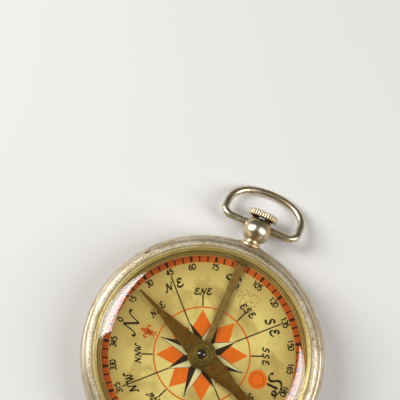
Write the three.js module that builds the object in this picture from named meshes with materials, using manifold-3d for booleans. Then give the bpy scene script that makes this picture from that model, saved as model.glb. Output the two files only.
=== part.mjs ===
// Pocket compass in a watch-shaped case: a nickel-plated cup with a snap-on bezel, a printed
// dial under a domed crystal, a jewelled needle on a steel point, and a push stem whose nose
// raises a spring lever that lifts the needle off its point and holds it against the crystal.
// Millimetres, +Z up out of the dial, +Y towards the pendant, origin at the centre of the flat back.

import * as THREE from 'three';
import { mergeVertices } from 'three/addons/utils/BufferGeometryUtils.js';
import Module from 'manifold-3d';

const wasm = await Module();
wasm.setup();

// Case cup
const caseRadius = 22.5; // widest line of the band
const wall = 0.65; // sheet thickness
const backRound = 7; // width of the rounded edge round the flat back
const shoulderWidth = 1; // from the widest line in to the bezel's seam
const seamLedge = 0.75; // from the seam in to the neck
const neckHeight = 1.1; // neck that the bezel snaps over
const seamRise = 0.3; // seam above the face of the dial

// Bezel
const bezelTopWidth = 0.95; // rounded outer edge
const bezelTopRise = 2.65; // crest above the seam
const bezelSideRise = 1.3; // upright part of its side
const bezelEdgeBreak = 0.14; // rounded bottom corner
const lipInset = 1.2; // from the crest in to the lip's edge
const lipDrop = 0.3; // lip's edge below the crest
const lipThickness = 0.25;
const grooveDepth = 0.95; // groove for the crystal behind the lip
const pryNotchRadius = 0.75;
const pryNotchDepth = 0.3;
const pryNotchTurn = 51.6; // degrees from the pendant to the notch, anticlockwise

// Crystal
const crystalFlange = 0.3; // thickness of the flat edge
const crystalRise = 1.55; // dome above its flange
const crystalWall = 0.8;
const domePower = 2.5; // how late the dome starts to fall
const domeEdgePower = 1.8; // how steep it is at its edge

// Dial, its plate and the ring that holds them down
const supportHeight = 4.9;
const supportWall = 0.7;
const plateThickness = 0.6;
const cardThickness = 0.25;
const ringHeight = 2; // top of the dial ring above the dial
const ringSkirt = 0.25; // sheet thickness of the ring
const ringConeWidth = 1.3; // how far its cone reaches in
const ringConeDrop = 0.95; // how far its cone falls

// Needle and pivot
const needleTipGap = 2.1; // from the north tip to the edge of the dial ring
const needleTailGap = 2.9;
const needleHalfWidth = 1.8;
const needleHubRadius = 2.65; // round middle of the needle
const needleThickness = 0.3;
const tailHalfWidth = 0.89;
const needleHeading = 157.3; // degrees of the north tip from +X at rest
const capRadius = 2.1;
const capFlange = 0.3;
const capBossRadius = 1.4;
const capBossHeight = 0.15;
const capEdgeBreak = 0.1;
const capTubeRadius = 1.02;
const capWasherRadius = 1.95;
const capWasherThickness = 0.25;
const jewelRadius = 0.8;
const jewelDome = 0.38;
const jewelPitWidth = 0.42; // radius of the mouth of its pit
const jewelPitDepth = 0.75;
const jewelFoot = 0.1; // its foot above the washer's underside
const pivotRadius = 0.26;
const pivotTaper = 1.1; // length of the ground point
const pivotTipRadius = 0.03;
const pivotBushRadius = 0.95;
const pivotBushHeight = 0.5;
const pivotShankRadius = 0.6;
const pointGap = 0.05; // between the point and the jewel's pit

// Lever
const leverThickness = 0.35;
const leverFloat = 0.35; // underside of its bar above the dial
const leverBarWidth = 1.3;
const leverRootWidth = 2.7;
const leverRootLength = 2.6;
const leverRootInset = 0.75; // from the plate's edge in to its rivets
const leverBendLength = 1.1;
const eyeRadius = 2.5;
const eyeHoleRadius = 1.3;
const eyeGap = 0.25; // from the eye up to the needle's washer at rest
const eyeEndGap = 0.14; // the same with the needle lifted
const needleLift = 0.7;
const tongueInset = 5.2; // from the rivets in to the tongue
const tongueThickness = 0.35;
const tongueWidth = 0.8;
const slotPlay = 0.2;
const rivetPitch = 1.5; // between the lever's two rivets
const rivetRadius = 0.26;
const rivetHeadRadius = 0.46;
const rivetHeadHeight = 0.22;

// Stem, its spring and its guide
const stemTravel = 0.6;
const stemRadius = 0.7;
const stemTipRadius = 0.12;
const stemNoseRadius = 0.42; // radius of the nose under the tongue at rest
const stemCollarRadius = 1.25;
const stemCollarLength = 0.4;
const stemThreadRadius = 0.52;
const stemHeadroom = 0.3; // from the collar up to the dial plate
const washerThickness = 0.25;
const springWire = 0.28;
const springPlay = 0.12; // round the stem
const springTurns = 4;
const guideWidth = 3.8;
const guideLength = 0.8;
const guideDrop = 1.15; // from the stem's centre down to the guide's foot
const guideInset = 0.2; // from the support ring out to the guide
const guideScrewRadius = 0.28;
const guideScrewHeadRadius = 0.5;
const guideScrewLength = 1.7;

// Pendant
const spigotRadius = 1.4;
const spigotLength = 1.9; // inside the widest line of the band
const footRadius = 2.55;
const footReach = 0.15; // outside the widest line of the band
const pendantNeckRadius = 1.45;
const pendantNeckLength = 0.45;
const beadRadius = 0.22;
const ballRadius = 2.7;
const ballReach = 3; // ball's centre outside the widest line of the band
const ballTopRadius = 1.75; // flat on the ball's outer end

// Crown
const crownRadius = 2.75;
const crownThickness = 1.05;
const crownDome = 0.22;
const crownGap = 0.35; // from the ball to the crown at rest
const crownRecessRadius = 2.2;
const crownRecessDepth = 0.45;
const crownHubWall = 0.2;
const crownTeeth = 34;
const toothDepth = 0.14;

// Bow
const bowWidth = 16; // over the wire
const bowLength = 7.6; // from its pivot to the centre of the wire at the far end
const bowWire = 1.45;
const bowCorner = 1.75;
const bowTopRise = 4.9; // half height of the oval far end
const bowPivotReach = 0.8; // outside the ball's centre
const bowEndInset = 0.55; // from the stem's bore out to the ends of the wire
const bowRestGap = 0.1; // above the surface that the back rests on

// Clearances
const seatGap = 0.03; // between stacked pieces
const turnedGap = 0.1; // between rings that fit in each other
const runningGap = 0.08; // round what turns or slides in a hole
const overrun = 1; // how far a cutter passes the faces that it cuts
const weldTolerance = 0.0001;

// Counts of faces
const facesLarge = 52;
const facesSmall = 24;
const facesFine = 16;

const degree = Math.PI / 180;
const quarterTurn = Math.PI / 2;
const fullTurn = Math.PI * 2;

// Radii that follow the case
const seamRadius = caseRadius - shoulderWidth;
const neckRadius = seamRadius - seamLedge;
const neckInner = neckRadius - wall;
const backFlatRadius = caseRadius - backRound;
const plateRadius = neckInner - turnedGap;
const ringInner = plateRadius - ringSkirt;
const ringConeTop = ringInner + seatGap;
const ringEdge = ringConeTop - ringConeWidth;
const crestRadius = seamRadius - bezelTopWidth;
const lipRadius = crestRadius - lipInset;
const grooveRadius = lipRadius + grooveDepth;
const crystalRadius = grooveRadius - turnedGap;
const domeRadius = lipRadius - turnedGap;
const northReach = ringEdge - needleTipGap;
const southReach = ringEdge - needleTailGap;

// Heights that follow the stack in the cup
const plateBottom = wall + supportHeight;
const plateTop = plateBottom + plateThickness;
const dialTop = plateTop + cardThickness;
const seamHeight = dialTop + seamRise;
const neckTop = seamHeight + neckHeight;
const ringTop = dialTop + ringHeight;
const crystalSeat = ringTop + seatGap;
const flangeTop = crystalSeat + crystalFlange;
const crestHeight = seamHeight + bezelTopRise;
const lipTop = crestHeight - lipDrop;
const lipBottom = Math.max(flangeTop + seatGap, lipTop - lipThickness);
const stemHeight = plateBottom - stemCollarRadius - stemHeadroom;

// Lengths along the stem, measured from the middle of the case
const rootReach = plateRadius - leverRootInset;
const tongueReach = rootReach - tongueInset;
const spigotInner = caseRadius - spigotLength;
const ballCentre = caseRadius + ballReach;
const ballTop = ballCentre + Math.sqrt(ballRadius ** 2 - ballTopRadius ** 2);
const bowPivot = ballCentre + bowPivotReach;
const crownInner = ballTop + crownGap;
const crownOuter = crownInner + crownThickness;
const collarInner = spigotInner - seatGap - stemCollarLength;
const washerInner = collarInner - seatGap - washerThickness;
const guideInner = backFlatRadius + guideInset;
const guideOuter = guideInner + guideLength;

// Motion: the stem's nose is a cone just steep enough to lift the eye by its full lift
const eyeLift = needleLift + eyeGap - eyeEndGap;
const leverAngle = eyeLift / rootReach;
const noseSlope = (leverAngle * tongueInset) / stemTravel;
const noseBase = tongueReach + tongueThickness / 2 + (stemRadius - stemNoseRadius) / noseSlope;
const noseTip = noseBase - (stemRadius - stemTipRadius) / noseSlope;

// Heights of the needle's pieces above the dial
const leverTop = leverFloat + leverThickness;
const washerBottom = leverTop + eyeGap;
const needleBottom = washerBottom + capWasherThickness;
const needleTop = needleBottom + needleThickness;
const capTop = needleTop + capFlange + capBossHeight;
const jewelBottom = washerBottom + jewelFoot;
const pitTop = jewelBottom + jewelPitDepth;
const crystalUnder = Math.max(flangeTop + crystalRise - crystalWall, crystalSeat);

const nickel = new THREE.MeshStandardMaterial({ color: 0xb9b09c, roughness: 0.32, metalness: 1 });
const brass = new THREE.MeshStandardMaterial({ color: 0xc9a75a, roughness: 0.3, metalness: 1 });
const dullBrass = new THREE.MeshStandardMaterial({ color: 0x8a6b2c, roughness: 0.45, metalness: 1 });
const bronzedSteel = new THREE.MeshStandardMaterial({ color: 0x4d4118, roughness: 0.5, metalness: 0.8 });
const steel = new THREE.MeshStandardMaterial({ color: 0x9a9a98, roughness: 0.3, metalness: 1 });
const paper = new THREE.MeshStandardMaterial({ color: 0xd6c778, roughness: 0.7, metalness: 0 });
const glass = new THREE.MeshStandardMaterial({
  color: 0xffffff, roughness: 0.05, metalness: 0, transparent: true, opacity: 0.25,
});
const darkStone = new THREE.MeshStandardMaterial({ color: 0x1c1208, roughness: 0.1, metalness: 0 });

// Merges shared corners, drops collapsed faces and turns the faces outward.
function weld(geometry) {
  const bare = new THREE.BufferGeometry();
  bare.setAttribute('position', geometry.getAttribute('position').clone());
  if (geometry.index) bare.setIndex(geometry.index.clone());
  const merged = mergeVertices(bare, weldTolerance);
  const corners = merged.index.array;
  const kept = [];
  for (let i = 0; i < corners.length; i += 3) {
    const [a, b, c] = corners.slice(i, i + 3);
    if (a !== b && b !== c && c !== a) kept.push(a, b, c);
  }
  merged.setIndex(kept);
  return enclosedVolume(merged) < 0 ? turnedInsideOut(merged) : merged;
}

function enclosedVolume(geometry) {
  const place = geometry.getAttribute('position');
  const corners = geometry.index.array;
  const [a, b, c] = [new THREE.Vector3(), new THREE.Vector3(), new THREE.Vector3()];
  let sum = 0;
  for (let i = 0; i < corners.length; i += 3) {
    a.fromBufferAttribute(place, corners[i]);
    b.fromBufferAttribute(place, corners[i + 1]);
    c.fromBufferAttribute(place, corners[i + 2]);
    sum += a.dot(b.cross(c));
  }
  return sum;
}

function turnedInsideOut(geometry) {
  const corners = Array.from(geometry.index.array);
  for (let i = 0; i < corners.length; i += 3) {
    [corners[i + 1], corners[i + 2]] = [corners[i + 2], corners[i + 1]];
  }
  geometry.setIndex(corners);
  return geometry;
}

function toSolid(geometry) {
  const closed = weld(geometry);
  return new wasm.Manifold(new wasm.Mesh({
    numProp: 3,
    vertProperties: new Float32Array(closed.getAttribute('position').array),
    triVerts: new Uint32Array(closed.index.array),
  }));
}

function toGeometry(solid) {
  const mesh = solid.getMesh();
  const geometry = new THREE.BufferGeometry();
  geometry.setAttribute('position', new THREE.BufferAttribute(new Float32Array(mesh.vertProperties), 3));
  geometry.setIndex(new THREE.BufferAttribute(new Uint32Array(mesh.triVerts), 1));
  return geometry;
}

function cut(geometry, ...tools) {
  return toGeometry(tools.reduce((solid, tool) => solid.subtract(toSolid(tool)), toSolid(geometry)));
}

function join(geometry, ...others) {
  return toGeometry(others.reduce((solid, other) => solid.add(toSolid(other)), toSolid(geometry)));
}

function common(geometry, other) {
  return toGeometry(toSolid(geometry).intersect(toSolid(other)));
}

// A point of a turned outline: its radius and its place along the axis.
const at = (radius, along) => new THREE.Vector2(radius, along);

// Points along an ellipse's arc, both ends included.
function arc(centre, radiusAcross, radiusAlong, from, to, steps) {
  return Array.from({ length: steps + 1 }, (_, i) => {
    const angle = from + ((to - from) * i) / steps;
    return at(centre.x + radiusAcross * Math.cos(angle), centre.y + radiusAlong * Math.sin(angle));
  });
}

// A turned solid about Y, from an outline that starts and ends on the axis or closes on itself.
function turned(outline, faces = facesSmall) {
  const closed = outline[0].x > 0 ? [...outline, outline[0].clone()] : outline;
  return weld(new THREE.LatheGeometry(closed, faces));
}

// The same about Z.
function turnedUpright(outline, faces = facesSmall) {
  return turned(outline, faces).rotateX(quarterTurn);
}

function ringOutline(inner, outer, bottom, top) {
  return [at(inner, bottom), at(outer, bottom), at(outer, top), at(inner, top)];
}

function discOutline(radius, bottom, top) {
  return [at(0, bottom), at(radius, bottom), at(radius, top), at(0, top)];
}

function uprightPin(radius, bottom, top, x = 0, y = 0, faces = facesFine) {
  return turnedUpright(discOutline(radius, bottom, top), faces).translate(x, y, 0);
}

function block(width, length, height, x, y, z) {
  return new THREE.BoxGeometry(width, length, height).translate(x, y, z);
}

function node(name, geometry, material) {
  const mesh = new THREE.Mesh(geometry, material);
  mesh.name = name;
  mesh.geometry.computeVertexNormals();
  return mesh;
}

// Case

// The cup's outside, grown by a gap where another piece is cut to follow it.
function cupOutside(grown = 0) {
  const low = at(backFlatRadius, stemHeight);
  const high = at(seamRadius, stemHeight);
  return [
    at(0, -grown),
    ...arc(low, backRound + grown, stemHeight + grown, -quarterTurn, 0, 6),
    ...arc(high, shoulderWidth + grown, seamHeight - stemHeight + grown, 0, quarterTurn, 4).slice(1),
  ];
}

function caseBody() {
  const high = at(neckInner, stemHeight);
  const low = at(backFlatRadius, stemHeight);
  const shoulder = caseRadius - wall - neckInner;
  const cup = turnedUpright([
    ...cupOutside(),
    at(neckRadius, seamHeight),
    at(neckRadius, neckTop),
    at(neckInner, neckTop),
    ...arc(high, shoulder, seamHeight - wall - stemHeight, quarterTurn, 0, 3),
    ...arc(low, backRound - wall, stemHeight - wall, 0, -quarterTurn, 3).slice(1),
    at(0, wall),
  ], facesLarge);
  const hole = turned(discOutline(spigotRadius + turnedGap, neckInner, caseRadius + overrun));
  return cut(cup, hole.translate(0, 0, stemHeight));
}

function bezel() {
  const foot = seamHeight + seatGap * 2;
  const shoulder = at(crestRadius, foot + bezelSideRise);
  const corner = at(seamRadius - bezelEdgeBreak, foot + bezelEdgeBreak);
  const body = turnedUpright([
    at(neckRadius + turnedGap, foot),
    ...arc(corner, bezelEdgeBreak, bezelEdgeBreak, -quarterTurn, 0, 1),
    ...arc(shoulder, bezelTopWidth, crestHeight - shoulder.y, 0, quarterTurn, 5),
    ...arc(at(crestRadius, lipTop), lipInset, lipDrop, quarterTurn, quarterTurn * 2, 2).slice(1),
    at(lipRadius, lipBottom),
    at(grooveRadius, lipBottom),
    at(grooveRadius, neckTop + turnedGap),
    at(neckRadius + turnedGap, neckTop + turnedGap),
  ], facesLarge);
  const notch = uprightPin(pryNotchRadius, foot - overrun, foot + pryNotchRadius);
  const turn = pryNotchTurn * degree;
  const reach = seamRadius + pryNotchRadius - pryNotchDepth;
  return cut(body, notch.translate(-Math.sin(turn) * reach, Math.cos(turn) * reach, 0));
}

// Dome from its edge up to the middle, as a curve that is flat in the middle and steep at the edge.
function dome(radius, edge, middle, steps) {
  return Array.from({ length: steps + 1 }, (_, i) => {
    const share = Math.cos((quarterTurn * i) / steps);
    const fall = Math.max(0, 1 - share ** domePower);
    return at(radius * share, edge + (middle - edge) * fall ** (1 / domeEdgePower));
  });
}

function crystal() {
  const outer = dome(domeRadius, flangeTop, flangeTop + crystalRise, 7);
  const inner = dome(domeRadius - crystalWall, crystalSeat, crystalUnder, 5);
  outer[outer.length - 1].x = 0;
  inner[inner.length - 1].x = 0;
  return turnedUpright([
    ...inner.reverse(),
    at(crystalRadius, crystalSeat),
    at(crystalRadius, flangeTop),
    ...outer,
  ], facesLarge);
}

// Dial

function supportRing() {
  const ring = turnedUpright(
    ringOutline(backFlatRadius - supportWall, backFlatRadius, wall, plateBottom), facesLarge);
  const notchWidth = (stemRadius + slotPlay) * 2;
  const notchHeight = plateBottom - stemHeight + notchWidth / 2 + overrun;
  const middle = stemHeight - notchWidth / 2 + notchHeight / 2;
  return cut(ring, block(notchWidth, supportWall + overrun * 2, notchHeight, 0, backFlatRadius, middle));
}

// The slot that the lever's tongue goes down through.
function tongueSlot() {
  const length = tongueThickness + slotPlay * 2;
  const height = plateThickness + cardThickness + overrun * 2;
  return block(tongueWidth + slotPlay, length, height, 0, tongueReach, plateBottom + height / 2 - overrun);
}

const leverRivetPlaces = [-rivetPitch / 2, rivetPitch / 2].map((x) => [x, rootReach]);
const guideScrewPlaces = [-1, 1].map((side) => {
  const x = (stemRadius + runningGap + guideWidth / 2) / 2;
  return [side * x, (guideInner + guideOuter) / 2];
});

function throughHoles(radius, places, bottom, top) {
  return places.map(([x, y]) => uprightPin(radius, bottom - overrun, top + overrun, x, y));
}

function dialPlate() {
  const disc = turnedUpright(discOutline(plateRadius, plateBottom, plateTop), facesLarge);
  const headRadius = guideScrewHeadRadius + runningGap;
  const headDepth = guideScrewHeadRadius - guideScrewRadius + runningGap;
  return cut(
    disc,
    tongueSlot(),
    uprightPin(pivotShankRadius + seatGap, plateBottom - overrun, plateTop + overrun),
    ...throughHoles(rivetRadius + runningGap, leverRivetPlaces, plateBottom, plateTop),
    ...throughHoles(guideScrewRadius + runningGap, guideScrewPlaces, plateBottom, plateTop),
    ...guideScrewPlaces.map(([x, y]) => turnedUpright([
      at(0, plateTop - headDepth), at(headRadius - headDepth, plateTop - headDepth),
      at(headRadius, plateTop), at(headRadius, plateTop + overrun), at(0, plateTop + overrun),
    ], facesFine).translate(x, y, 0)),
  );
}

function dialCard() {
  const disc = turnedUpright(discOutline(plateRadius, plateTop, dialTop), facesLarge);
  return cut(
    disc,
    tongueSlot(),
    uprightPin(pivotShankRadius + seatGap, plateTop - overrun, dialTop + overrun),
    ...throughHoles(rivetRadius + runningGap, leverRivetPlaces, plateTop, dialTop),
  );
}

function dialRing() {
  const coneBottom = ringTop - ringConeDrop;
  return turnedUpright([
    at(ringInner, dialTop),
    at(plateRadius, dialTop),
    at(plateRadius, ringTop),
    at(ringConeTop, ringTop),
    at(ringEdge, coneBottom),
    at(ringEdge + ringSkirt / 2, coneBottom - ringSkirt / 2),
    at(ringInner, ringTop - ringSkirt - seatGap),
  ], facesLarge);
}

// Pivot and needle, measured up from the dial

function pivotBase() {
  const stack = plateThickness + cardThickness;
  const bush = turnedUpright([
    at(0, -stack - rivetHeadHeight),
    at(pivotBushRadius, -stack - rivetHeadHeight),
    at(pivotBushRadius, -stack - seatGap),
    at(pivotShankRadius, -stack - seatGap),
    at(pivotShankRadius, seatGap),
    at(pivotBushRadius, seatGap),
    at(pivotBushRadius, pivotBushHeight - capEdgeBreak),
    at(pivotBushRadius - capEdgeBreak, pivotBushHeight),
    at(0, pivotBushHeight),
  ], facesFine);
  return cut(bush, uprightPin(pivotRadius + seatGap, -plateThickness, pivotBushHeight + overrun));
}

function pivotPin() {
  const point = pitTop - pointGap;
  return turnedUpright([
    at(0, seatGap - plateThickness),
    at(pivotRadius, seatGap - plateThickness),
    at(pivotRadius, point - pivotTaper),
    at(pivotTipRadius, point),
    at(0, point),
  ], facesFine);
}

function jewel() {
  const domeBottom = capTop - seatGap;
  return turnedUpright([
    at(0, pitTop),
    at(jewelPitWidth, jewelBottom),
    at(jewelRadius, jewelBottom),
    ...arc(at(0, domeBottom), jewelRadius, jewelDome, 0, quarterTurn, 4),
  ], facesFine);
}

function needleCap() {
  const flangeTopHeight = needleTop + seatGap + capFlange;
  const bossEdge = at(capBossRadius - capEdgeBreak, capTop - capEdgeBreak);
  return turnedUpright([
    at(jewelRadius + seatGap, washerBottom + seatGap),
    at(capTubeRadius, washerBottom + seatGap),
    at(capTubeRadius, needleTop + seatGap),
    at(capRadius, needleTop + seatGap),
    at(capRadius, flangeTopHeight - capEdgeBreak),
    at(capRadius - capEdgeBreak, flangeTopHeight),
    at(capBossRadius, flangeTopHeight),
    ...arc(bossEdge, capEdgeBreak, capEdgeBreak, 0, quarterTurn, 2),
    at(jewelRadius + seatGap, capTop),
  ]);
}

function capWasher() {
  return turnedUpright(ringOutline(
    capTubeRadius + seatGap, capWasherRadius, washerBottom, needleBottom - seatGap), facesFine);
}

// Half widths along the needle, as shares of its reach and of its greatest half width.
const northShares = [
  [1, 0.07], [0.985, 0.13], [0.84, 0.19], [0.73, 0.23], [0.66, 0.28], [0.6, 0.39],
  [0.55, 0.49], [0.48, 0.55], [0.42, 0.61], [0.32, 0.74], [0.2, 0.91],
];
const shoulderShares = [[0.26, 0.94], [0.32, 0.87], [0.376, 0.8], [0.435, 0.68], [0.49, 0.57]];
const tailStartShare = 0.55;
const tailEndShare = 0.96;

function needlePlate() {
  const side = [
    ...northShares.map(([reach, width]) => [northReach * reach, needleHalfWidth * width]),
    [0, needleHalfWidth],
    ...shoulderShares.map(([reach, width]) => [-southReach * reach, needleHalfWidth * width]),
    [-southReach * tailStartShare, tailHalfWidth],
    [-southReach * tailEndShare, tailHalfWidth],
    [-southReach, tailHalfWidth / 2],
  ];
  const shape = new THREE.Shape([
    ...side.map(([x, y]) => new THREE.Vector2(x, y)),
    ...side.reverse().map(([x, y]) => new THREE.Vector2(x, -y)),
  ]);
  const top = needleTop - seatGap;
  const plate = new THREE.ExtrudeGeometry(shape, { depth: top - needleBottom, bevelEnabled: false });
  const hub = turnedUpright(discOutline(needleHubRadius, needleBottom, top));
  const hole = uprightPin(capTubeRadius + seatGap, needleBottom - overrun, needleTop + overrun);
  return cut(join(plate.translate(0, 0, needleBottom), hub), hole);
}

// Lever, measured from its rivets and from the face of the dial

function lever() {
  const half = leverBarWidth / 2;
  const rootHalf = leverRootWidth / 2;
  const rootEnd = leverRootInset - ringSkirt - turnedGap;
  const plan = new THREE.Shape();
  const eyeAngle = Math.asin(half / eyeRadius);
  plan.absarc(0, -rootReach, eyeRadius, quarterTurn + eyeAngle, quarterTurn - eyeAngle + fullTurn, false);
  plan.lineTo(half, rootEnd - leverRootLength);
  plan.lineTo(rootHalf, rootEnd - leverRootLength + rootHalf - half);
  plan.lineTo(rootHalf, rootEnd - rootHalf / 2);
  plan.lineTo(rootHalf / 2, rootEnd);
  plan.lineTo(-rootHalf / 2, rootEnd);
  plan.lineTo(-rootHalf, rootEnd - rootHalf / 2);
  plan.lineTo(-rootHalf, rootEnd - leverRootLength + rootHalf - half);
  plan.lineTo(-half, rootEnd - leverRootLength);
  const eyeHole = new THREE.Path();
  eyeHole.absarc(0, -rootReach, eyeHoleRadius, 0, fullTurn, true);
  plan.holes.push(eyeHole);
  const flat = new THREE.ExtrudeGeometry(plan, { depth: leverTop, bevelEnabled: false, curveSegments: 14 });

  const far = -rootReach - eyeRadius - overrun;
  const bendEnd = -leverRootInset;
  const bendStart = bendEnd - leverBendLength;
  const side = new THREE.Shape([
    [far, leverFloat], [bendStart, leverFloat], [bendEnd, seatGap], [overrun, seatGap],
    [overrun, seatGap + leverThickness], [bendEnd, seatGap + leverThickness],
    [bendStart, leverTop], [far, leverTop],
  ].map(([y, z]) => new THREE.Vector2(y, z)));
  const stripWidth = (eyeRadius + overrun) * 2;
  const strip = new THREE.ExtrudeGeometry(side, { depth: stripWidth, bevelEnabled: false });
  strip.rotateY(quarterTurn).rotateX(quarterTurn).translate(-stripWidth / 2, 0, 0);

  const tongueBottom = stemHeight + stemNoseRadius + seatGap * 2 - dialTop;
  const tongueHeight = leverTop - leverThickness / 2 - tongueBottom;
  const tongue = block(
    tongueWidth, tongueThickness, tongueHeight, 0, -tongueInset, tongueBottom + tongueHeight / 2);
  const rivetPlaces = [-rivetPitch / 2, rivetPitch / 2].map((x) => [x, 0]);
  const holes = throughHoles(rivetRadius + runningGap, rivetPlaces, 0, leverTop);
  return cut(join(common(flat, strip), tongue), ...holes);
}

function leverRivet() {
  const under = -plateThickness - cardThickness;
  const headBottom = leverThickness + seatGap * 3;
  return turnedUpright([
    at(0, under - rivetHeadHeight),
    at(rivetHeadRadius, under - rivetHeadHeight),
    at(rivetHeadRadius, under - seatGap),
    at(rivetRadius, under - seatGap),
    at(rivetRadius, headBottom),
    at(rivetHeadRadius, headBottom),
    ...arc(at(0, headBottom), rivetHeadRadius, rivetHeadHeight, 0, quarterTurn, 3).slice(1),
  ], facesFine);
}

// Stem, its spring and its guide, measured along the stem from the middle of the case

function stem() {
  const threadStart = crownInner + crownRecessDepth;
  return turned([
    at(0, noseTip),
    at(stemTipRadius, noseTip),
    at(stemRadius, noseBase),
    at(stemRadius, collarInner),
    at(stemCollarRadius, collarInner),
    at(stemCollarRadius, collarInner + stemCollarLength),
    at(stemRadius, collarInner + stemCollarLength),
    at(stemRadius, threadStart - seatGap),
    at(stemThreadRadius, threadStart - seatGap),
    at(stemThreadRadius, crownOuter - crownHubWall - seatGap),
    at(0, crownOuter - crownHubWall - seatGap),
  ], facesFine);
}

function springWasher() {
  return turned(ringOutline(
    stemRadius + runningGap, stemCollarRadius, washerInner, washerInner + washerThickness), facesFine);
}

// One unbroken tube wound round the stem.
class Helix extends THREE.Curve {
  constructor(radius, start, length, turns) {
    super();
    Object.assign(this, { radius, start, length, turns });
  }

  getPoint(share, target = new THREE.Vector3()) {
    const angle = share * this.turns * fullTurn;
    return target.set(
      this.radius * Math.cos(angle), this.start + this.length * share, this.radius * Math.sin(angle));
  }
}

const springRadius = stemRadius + springPlay + springWire / 2;
const springStart = guideOuter + springWire / 2 + seatGap * 2;
const springEnd = washerInner - springWire / 2 - seatGap * 2;
const springStepsPerTurn = 8;
const springSides = 5;

function circleShape(radius, sides) {
  return new THREE.Shape(Array.from({ length: sides }, (_, i) => {
    const angle = (fullTurn * i) / sides;
    return new THREE.Vector2(radius * Math.cos(angle), radius * Math.sin(angle));
  }));
}

function stemSpring() {
  const path = new Helix(springRadius, springStart, springEnd - springStart, springTurns);
  reportLeastGap(path);
  return weld(new THREE.ExtrudeGeometry(circleShape(springWire / 2, springSides), {
    steps: springTurns * springStepsPerTurn, extrudePath: path, bevelEnabled: false,
  }));
}

// Least distance between the surfaces of two turns, measured on points of the wire's centre.
function reportLeastGap(path) {
  const perTurn = springStepsPerTurn * springStepsPerTurn;
  const points = path.getPoints(springTurns * perTurn);
  let least = Infinity;
  points.forEach((point, i) => {
    points.slice(i + perTurn / 2).forEach((other) => {
      least = Math.min(least, point.distanceTo(other));
    });
  });
  console.log(`stem_spring: least gap to itself ${(least - springWire).toFixed(2)} mm`);
}

function stemGuide() {
  const top = plateBottom - stemHeight - seatGap;
  const middle = (guideInner + guideOuter) / 2;
  const body = block(guideWidth, guideLength, top + guideDrop, 0, middle, (top - guideDrop) / 2);
  const bore = turned(discOutline(stemRadius + runningGap, guideInner - overrun, guideOuter + overrun));
  const screwEnd = plateTop - guideScrewLength - stemHeight;
  const screwHoles = guideScrewPlaces.map(([x, y]) => uprightPin(
    guideScrewRadius + runningGap, screwEnd - seatGap, top + overrun, x, y));
  return cut(body, bore, ...screwHoles);
}

function guideScrew() {
  const headHeight = guideScrewHeadRadius - guideScrewRadius;
  return turnedUpright([
    at(0, -guideScrewLength),
    at(guideScrewRadius, -guideScrewLength),
    at(guideScrewRadius, -headHeight - seatGap),
    at(guideScrewHeadRadius, -seatGap),
    at(0, -seatGap),
  ], facesFine);
}

// Pendant, crown and bow

function pendant() {
  const footEnd = caseRadius + footReach;
  const neckEnd = footEnd + pendantNeckLength;
  const beadMiddle = at(pendantNeckRadius, (footEnd + neckEnd) / 2);
  const flare = Math.PI * 2 / 3;
  const ballStart = -flare / 2;
  const ballEnd = Math.acos(ballTopRadius / ballRadius);
  const head = turned([
    at(0, spigotInner),
    at(footRadius, spigotInner),
    at(footRadius, footEnd - pendantNeckLength / 2),
    ...arc(at(pendantNeckRadius, footEnd - pendantNeckLength / 2),
      footRadius - pendantNeckRadius, pendantNeckLength / 2, 0, quarterTurn, 3).slice(1),
    ...arc(beadMiddle, beadRadius, beadRadius, -quarterTurn, quarterTurn, 4),
    at(pendantNeckRadius, neckEnd),
    ...arc(at(0, ballCentre), ballRadius, ballRadius, ballStart, ballEnd, 9),
    at(0, ballTop),
  ]);
  const saddle = turnedUpright([...cupOutside(turnedGap), at(0, seamHeight + turnedGap)], facesLarge);
  const seated = cut(head, saddle.translate(0, 0, -stemHeight));
  const spigot = turned(discOutline(spigotRadius, spigotInner, neckEnd));
  const bore = turned(discOutline(stemRadius + runningGap, spigotInner - overrun, ballTop + overrun));
  const holeReach = ballRadius + overrun;
  const crossHole = turned(discOutline(bowWire / 2 + runningGap, -holeReach, holeReach));
  crossHole.rotateZ(quarterTurn).translate(0, bowPivot, 0);
  return cut(join(seated, spigot), bore, crossHole);
}

// Corners of one tooth, as shares of its pitch: foot, tip, tip and foot.
const toothShares = [0, 0.3, 0.6, 0.9];

function knurledShape() {
  const valley = crownRadius - toothDepth;
  const corners = toothShares.map((share, i) => [share, i % 3 ? crownRadius : valley]);
  const points = [];
  for (let tooth = 0; tooth < crownTeeth; tooth += 1) {
    corners.forEach(([share, radius]) => {
      const angle = ((tooth + share) * fullTurn) / crownTeeth;
      points.push(new THREE.Vector2(radius * Math.cos(angle), radius * Math.sin(angle)));
    });
  }
  return new THREE.Shape(points);
}

function crown() {
  const knurled = new THREE.ExtrudeGeometry(knurledShape(), {
    depth: crownThickness + crownDome, bevelEnabled: false,
  });
  knurled.rotateX(-quarterTurn).translate(0, crownInner, 0);
  const edge = toothDepth;
  const rounded = turned([
    at(0, crownInner),
    at(crownRadius - edge, crownInner),
    at(crownRadius, crownInner + edge),
    at(crownRadius, crownOuter - edge),
    ...arc(at(0, crownOuter - edge), crownRadius - edge / 2, crownDome + edge, 0, quarterTurn, 4).slice(1),
  ], crownTeeth);
  const recessEnd = crownInner + crownRecessDepth;
  const recess = turned(discOutline(crownRecessRadius, crownInner - overrun, recessEnd));
  const thread = turned(discOutline(stemThreadRadius + seatGap, crownInner, crownOuter - crownHubWall));
  return cut(common(knurled, rounded), recess, thread);
}

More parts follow.
